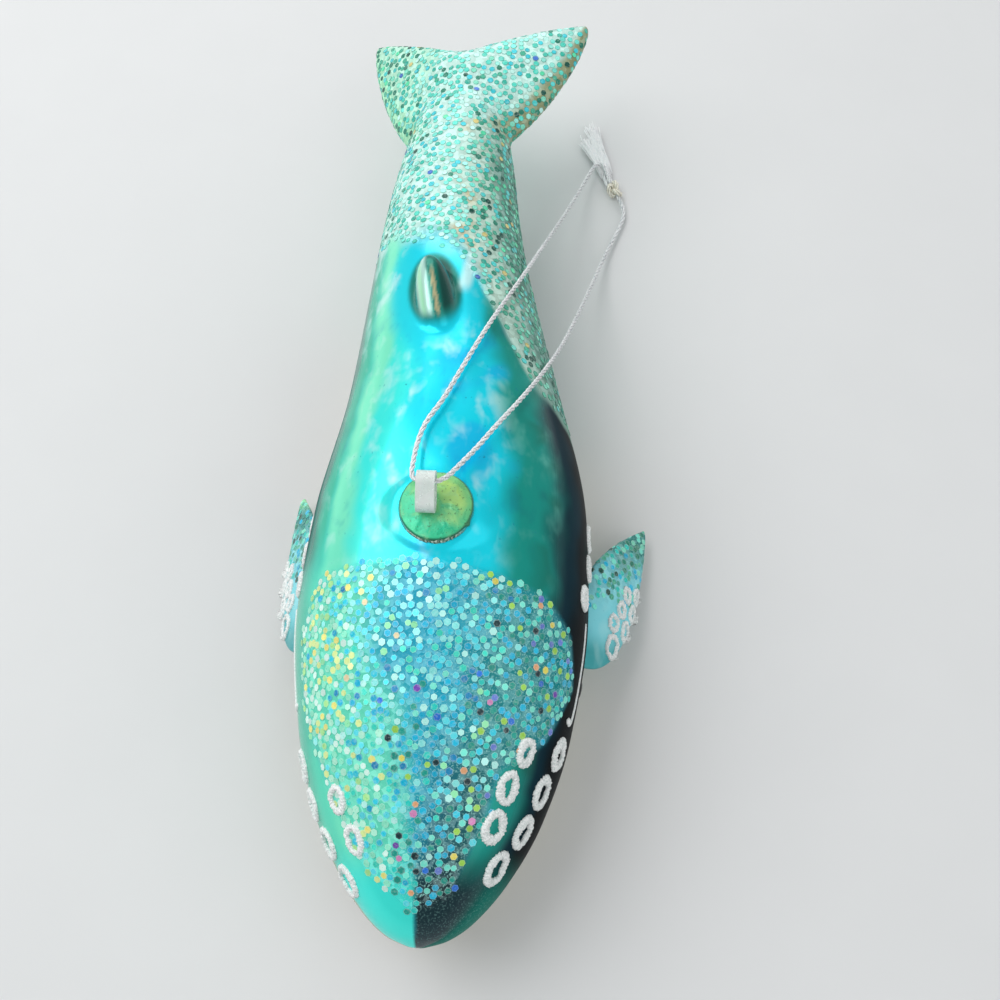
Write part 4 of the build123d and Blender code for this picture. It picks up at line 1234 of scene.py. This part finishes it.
def glue():
    """Clear glue: grey and grainy on the side towards the head, the colour of the lacquer elsewhere."""
    material, tree = new_material("dried_glue")
    spot = add(tree, "ShaderNodeSeparateXYZ", {0: placed(tree, 1000)})
    grain = clouds(tree, 3400, 3.0, 0.65)
    grit = mixed(tree, ranged(tree, grain, 0.4, 0.62), "#2C5E4C", "#B8CDBE")
    around = mixed(tree, grain, "#0E8C8C", "#22C0C4")
    return shaded(material, {
        "Base Color": mixed(tree, ranged(tree, spot.outputs[1], -2.6, -4.2), around, grit),
        "Roughness": ranged(tree, grain, 0.3, 0.7, 0.2, 0.5),
    }, bump=(grain, 0.6, 0.0001))


def clear_plastic():
    """Milky moulded plastic of the hanger loop."""
    material, tree = new_material("milky_plastic")
    haze = clouds(tree, 600, 3.0)
    return shaded(material, {
        "Base Color": mixed(tree, haze, "#E6F4EC", "#FFFFFF"),
        "Roughness": ranged(tree, haze, 0.3, 0.7, 0.22, 0.38),
        "Transmission Weight": 0.3,
        "IOR": 1.46,
    }, bump=(haze, 0.2, 0.0001))


def silver_thread(name, pale, dark, metal, twisted):
    """Metallic thread, with fine filaments and glints, and painted shade between its strands where it is
    twisted.
    """
    material, tree = new_material(name)
    filament = clouds(tree, (5200, 2600, 5200), 3.0, 0.7)
    colour = mixed(tree, ranged(tree, filament, 0.34, 0.6), dark, pale)
    if twisted:
        # Painted shade: darker grey on the inner side of each strand, between the strands.
        colour = mixed(tree, ranged(tree, attribute(tree, "crown"), 0.2, 0.65, 0.6, 0.0), colour, "#4A4E54")
    return shaded(material, {
        "Base Color": colour,
        "Metallic": metal,
        "Roughness": ranged(tree, filament, 0.35, 0.65, 0.5, 0.28),
    }, bump=(filament, 0.5, 0.00008))


def aim(obj, place, target, roll=0.0):
    """Puts an object at a place, looking at a target."""
    place, target = Vector(place) * MM, Vector(target) * MM
    obj.location = place
    obj.rotation_mode = "QUATERNION"
    turn = Quaternion(UP, math.radians(roll))
    obj.rotation_quaternion = (target - place).to_track_quat("-Z", "Y") @ turn


def stage():
    """Camera, pale floor, soft lamps and world."""
    scene = bpy.context.scene
    scene.view_settings.view_transform = "Standard"
    data = bpy.data.cameras.new("camera")
    data.lens, data.sensor_width = CAMERA_LENS, SENSOR
    data.clip_start, data.clip_end = CAMERA_CLIP
    scene.camera = linked("camera", data)
    aim(scene.camera, CAMERA_PLACE, CAMERA_TARGET, CAMERA_ROLL)
    for name, (place, target, size, power) in LAMPS.items():
        lamp = bpy.data.lights.new(name, "AREA")
        lamp.size = size * MM
        lamp.energy = power
        aim(linked(name, lamp), place, target)
    world = bpy.data.worlds.new("soft_room")
    world.use_nodes = True
    for index, value in enumerate((WORLD_COLOUR, WORLD_LEVEL)):
        put(world.node_tree, world.node_tree.nodes["Background"].inputs[index], value)
    scene.world = world
    material, tree = new_material("pale_floor")
    fleck = clouds(tree, 60, 4.0)
    shaded(material, {"Base Color": mixed(tree, fleck, *FLOOR_COLOURS), "Roughness": 0.7})
    bm = bmesh.new()
    half = FLOOR_SIZE / 2 * MM
    bm.faces.new([bm.verts.new((x * half, y * half, 0)) for x, y in ((-1, -1), (1, -1), (1, 1), (-1, 1))])
    finished("floor", bm, material)


stage()
silver = silver_thread("silver_cord", "#FFFFFF", "#C2C8CC", 0.1, True)
pale_gold = silver_thread("pale_gold_knot", "#FFFCF0", "#D6CFB8", 0.1, True)
frayed = silver_thread("frayed_silver", "#FFFFFF", "#F2F5F7", 0.0, False)
cord_pieces(silver, pale_gold, frayed)

lacquered = lacquer()
body = body_mesh(lacquered)
leaves = {side: flipper_mesh(side, lacquered) for side in FLIPPERS}
graph = bpy.context.evaluated_depsgraph_get()
body_tree = BVHTree.FromObject(body, graph)
leaf_trees = {side: BVHTree.FromObject(leaf, graph) for side, leaf in leaves.items()}

flake = glitter_flake()
for name, count, colour_at, rim, seed in (
    ("head_glitter", HEAD_FLAKES, head_colour, HEAD_RIM, 3),
    ("tail_glitter", TAIL_FLAKES, tail_colour, TAIL_RIM, 5),
):
    flakes(name, scatter(body, name, count, seed), colour_at, rim, body_tree, flake, seed + 1)
for side, leaf in leaves.items():
    spots = scatter(leaf, "glitter", FLIPPER_FLAKES, 7)
    flakes(f"flipper_glitter_{side}", spots, flipper_colour, HEAD_RIM, leaf_trees[side], flake, 8)

enamel = white_enamel()
for node in RINGS:
    ring_mesh(node, leaf_trees[node.split("_")[0]] if "flipper" in node else body_tree, enamel)
black = black_enamel()
for side in FLIPPERS:
    throat_line(side, body_tree, enamel)
    eye(side, body_tree, black)

cap_mesh(cap_lacquer())
bead_mesh(glue())
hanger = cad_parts["hanger_loop"]
hanger.data.materials.clear()
hanger.data.materials.append(clear_plastic())
round_edge = hanger.modifiers.new("round_edge", "BEVEL")
round_edge.width = HANGER_ROUNDING * MM
round_edge.segments = 3
round_edge.limit_method = "ANGLE"
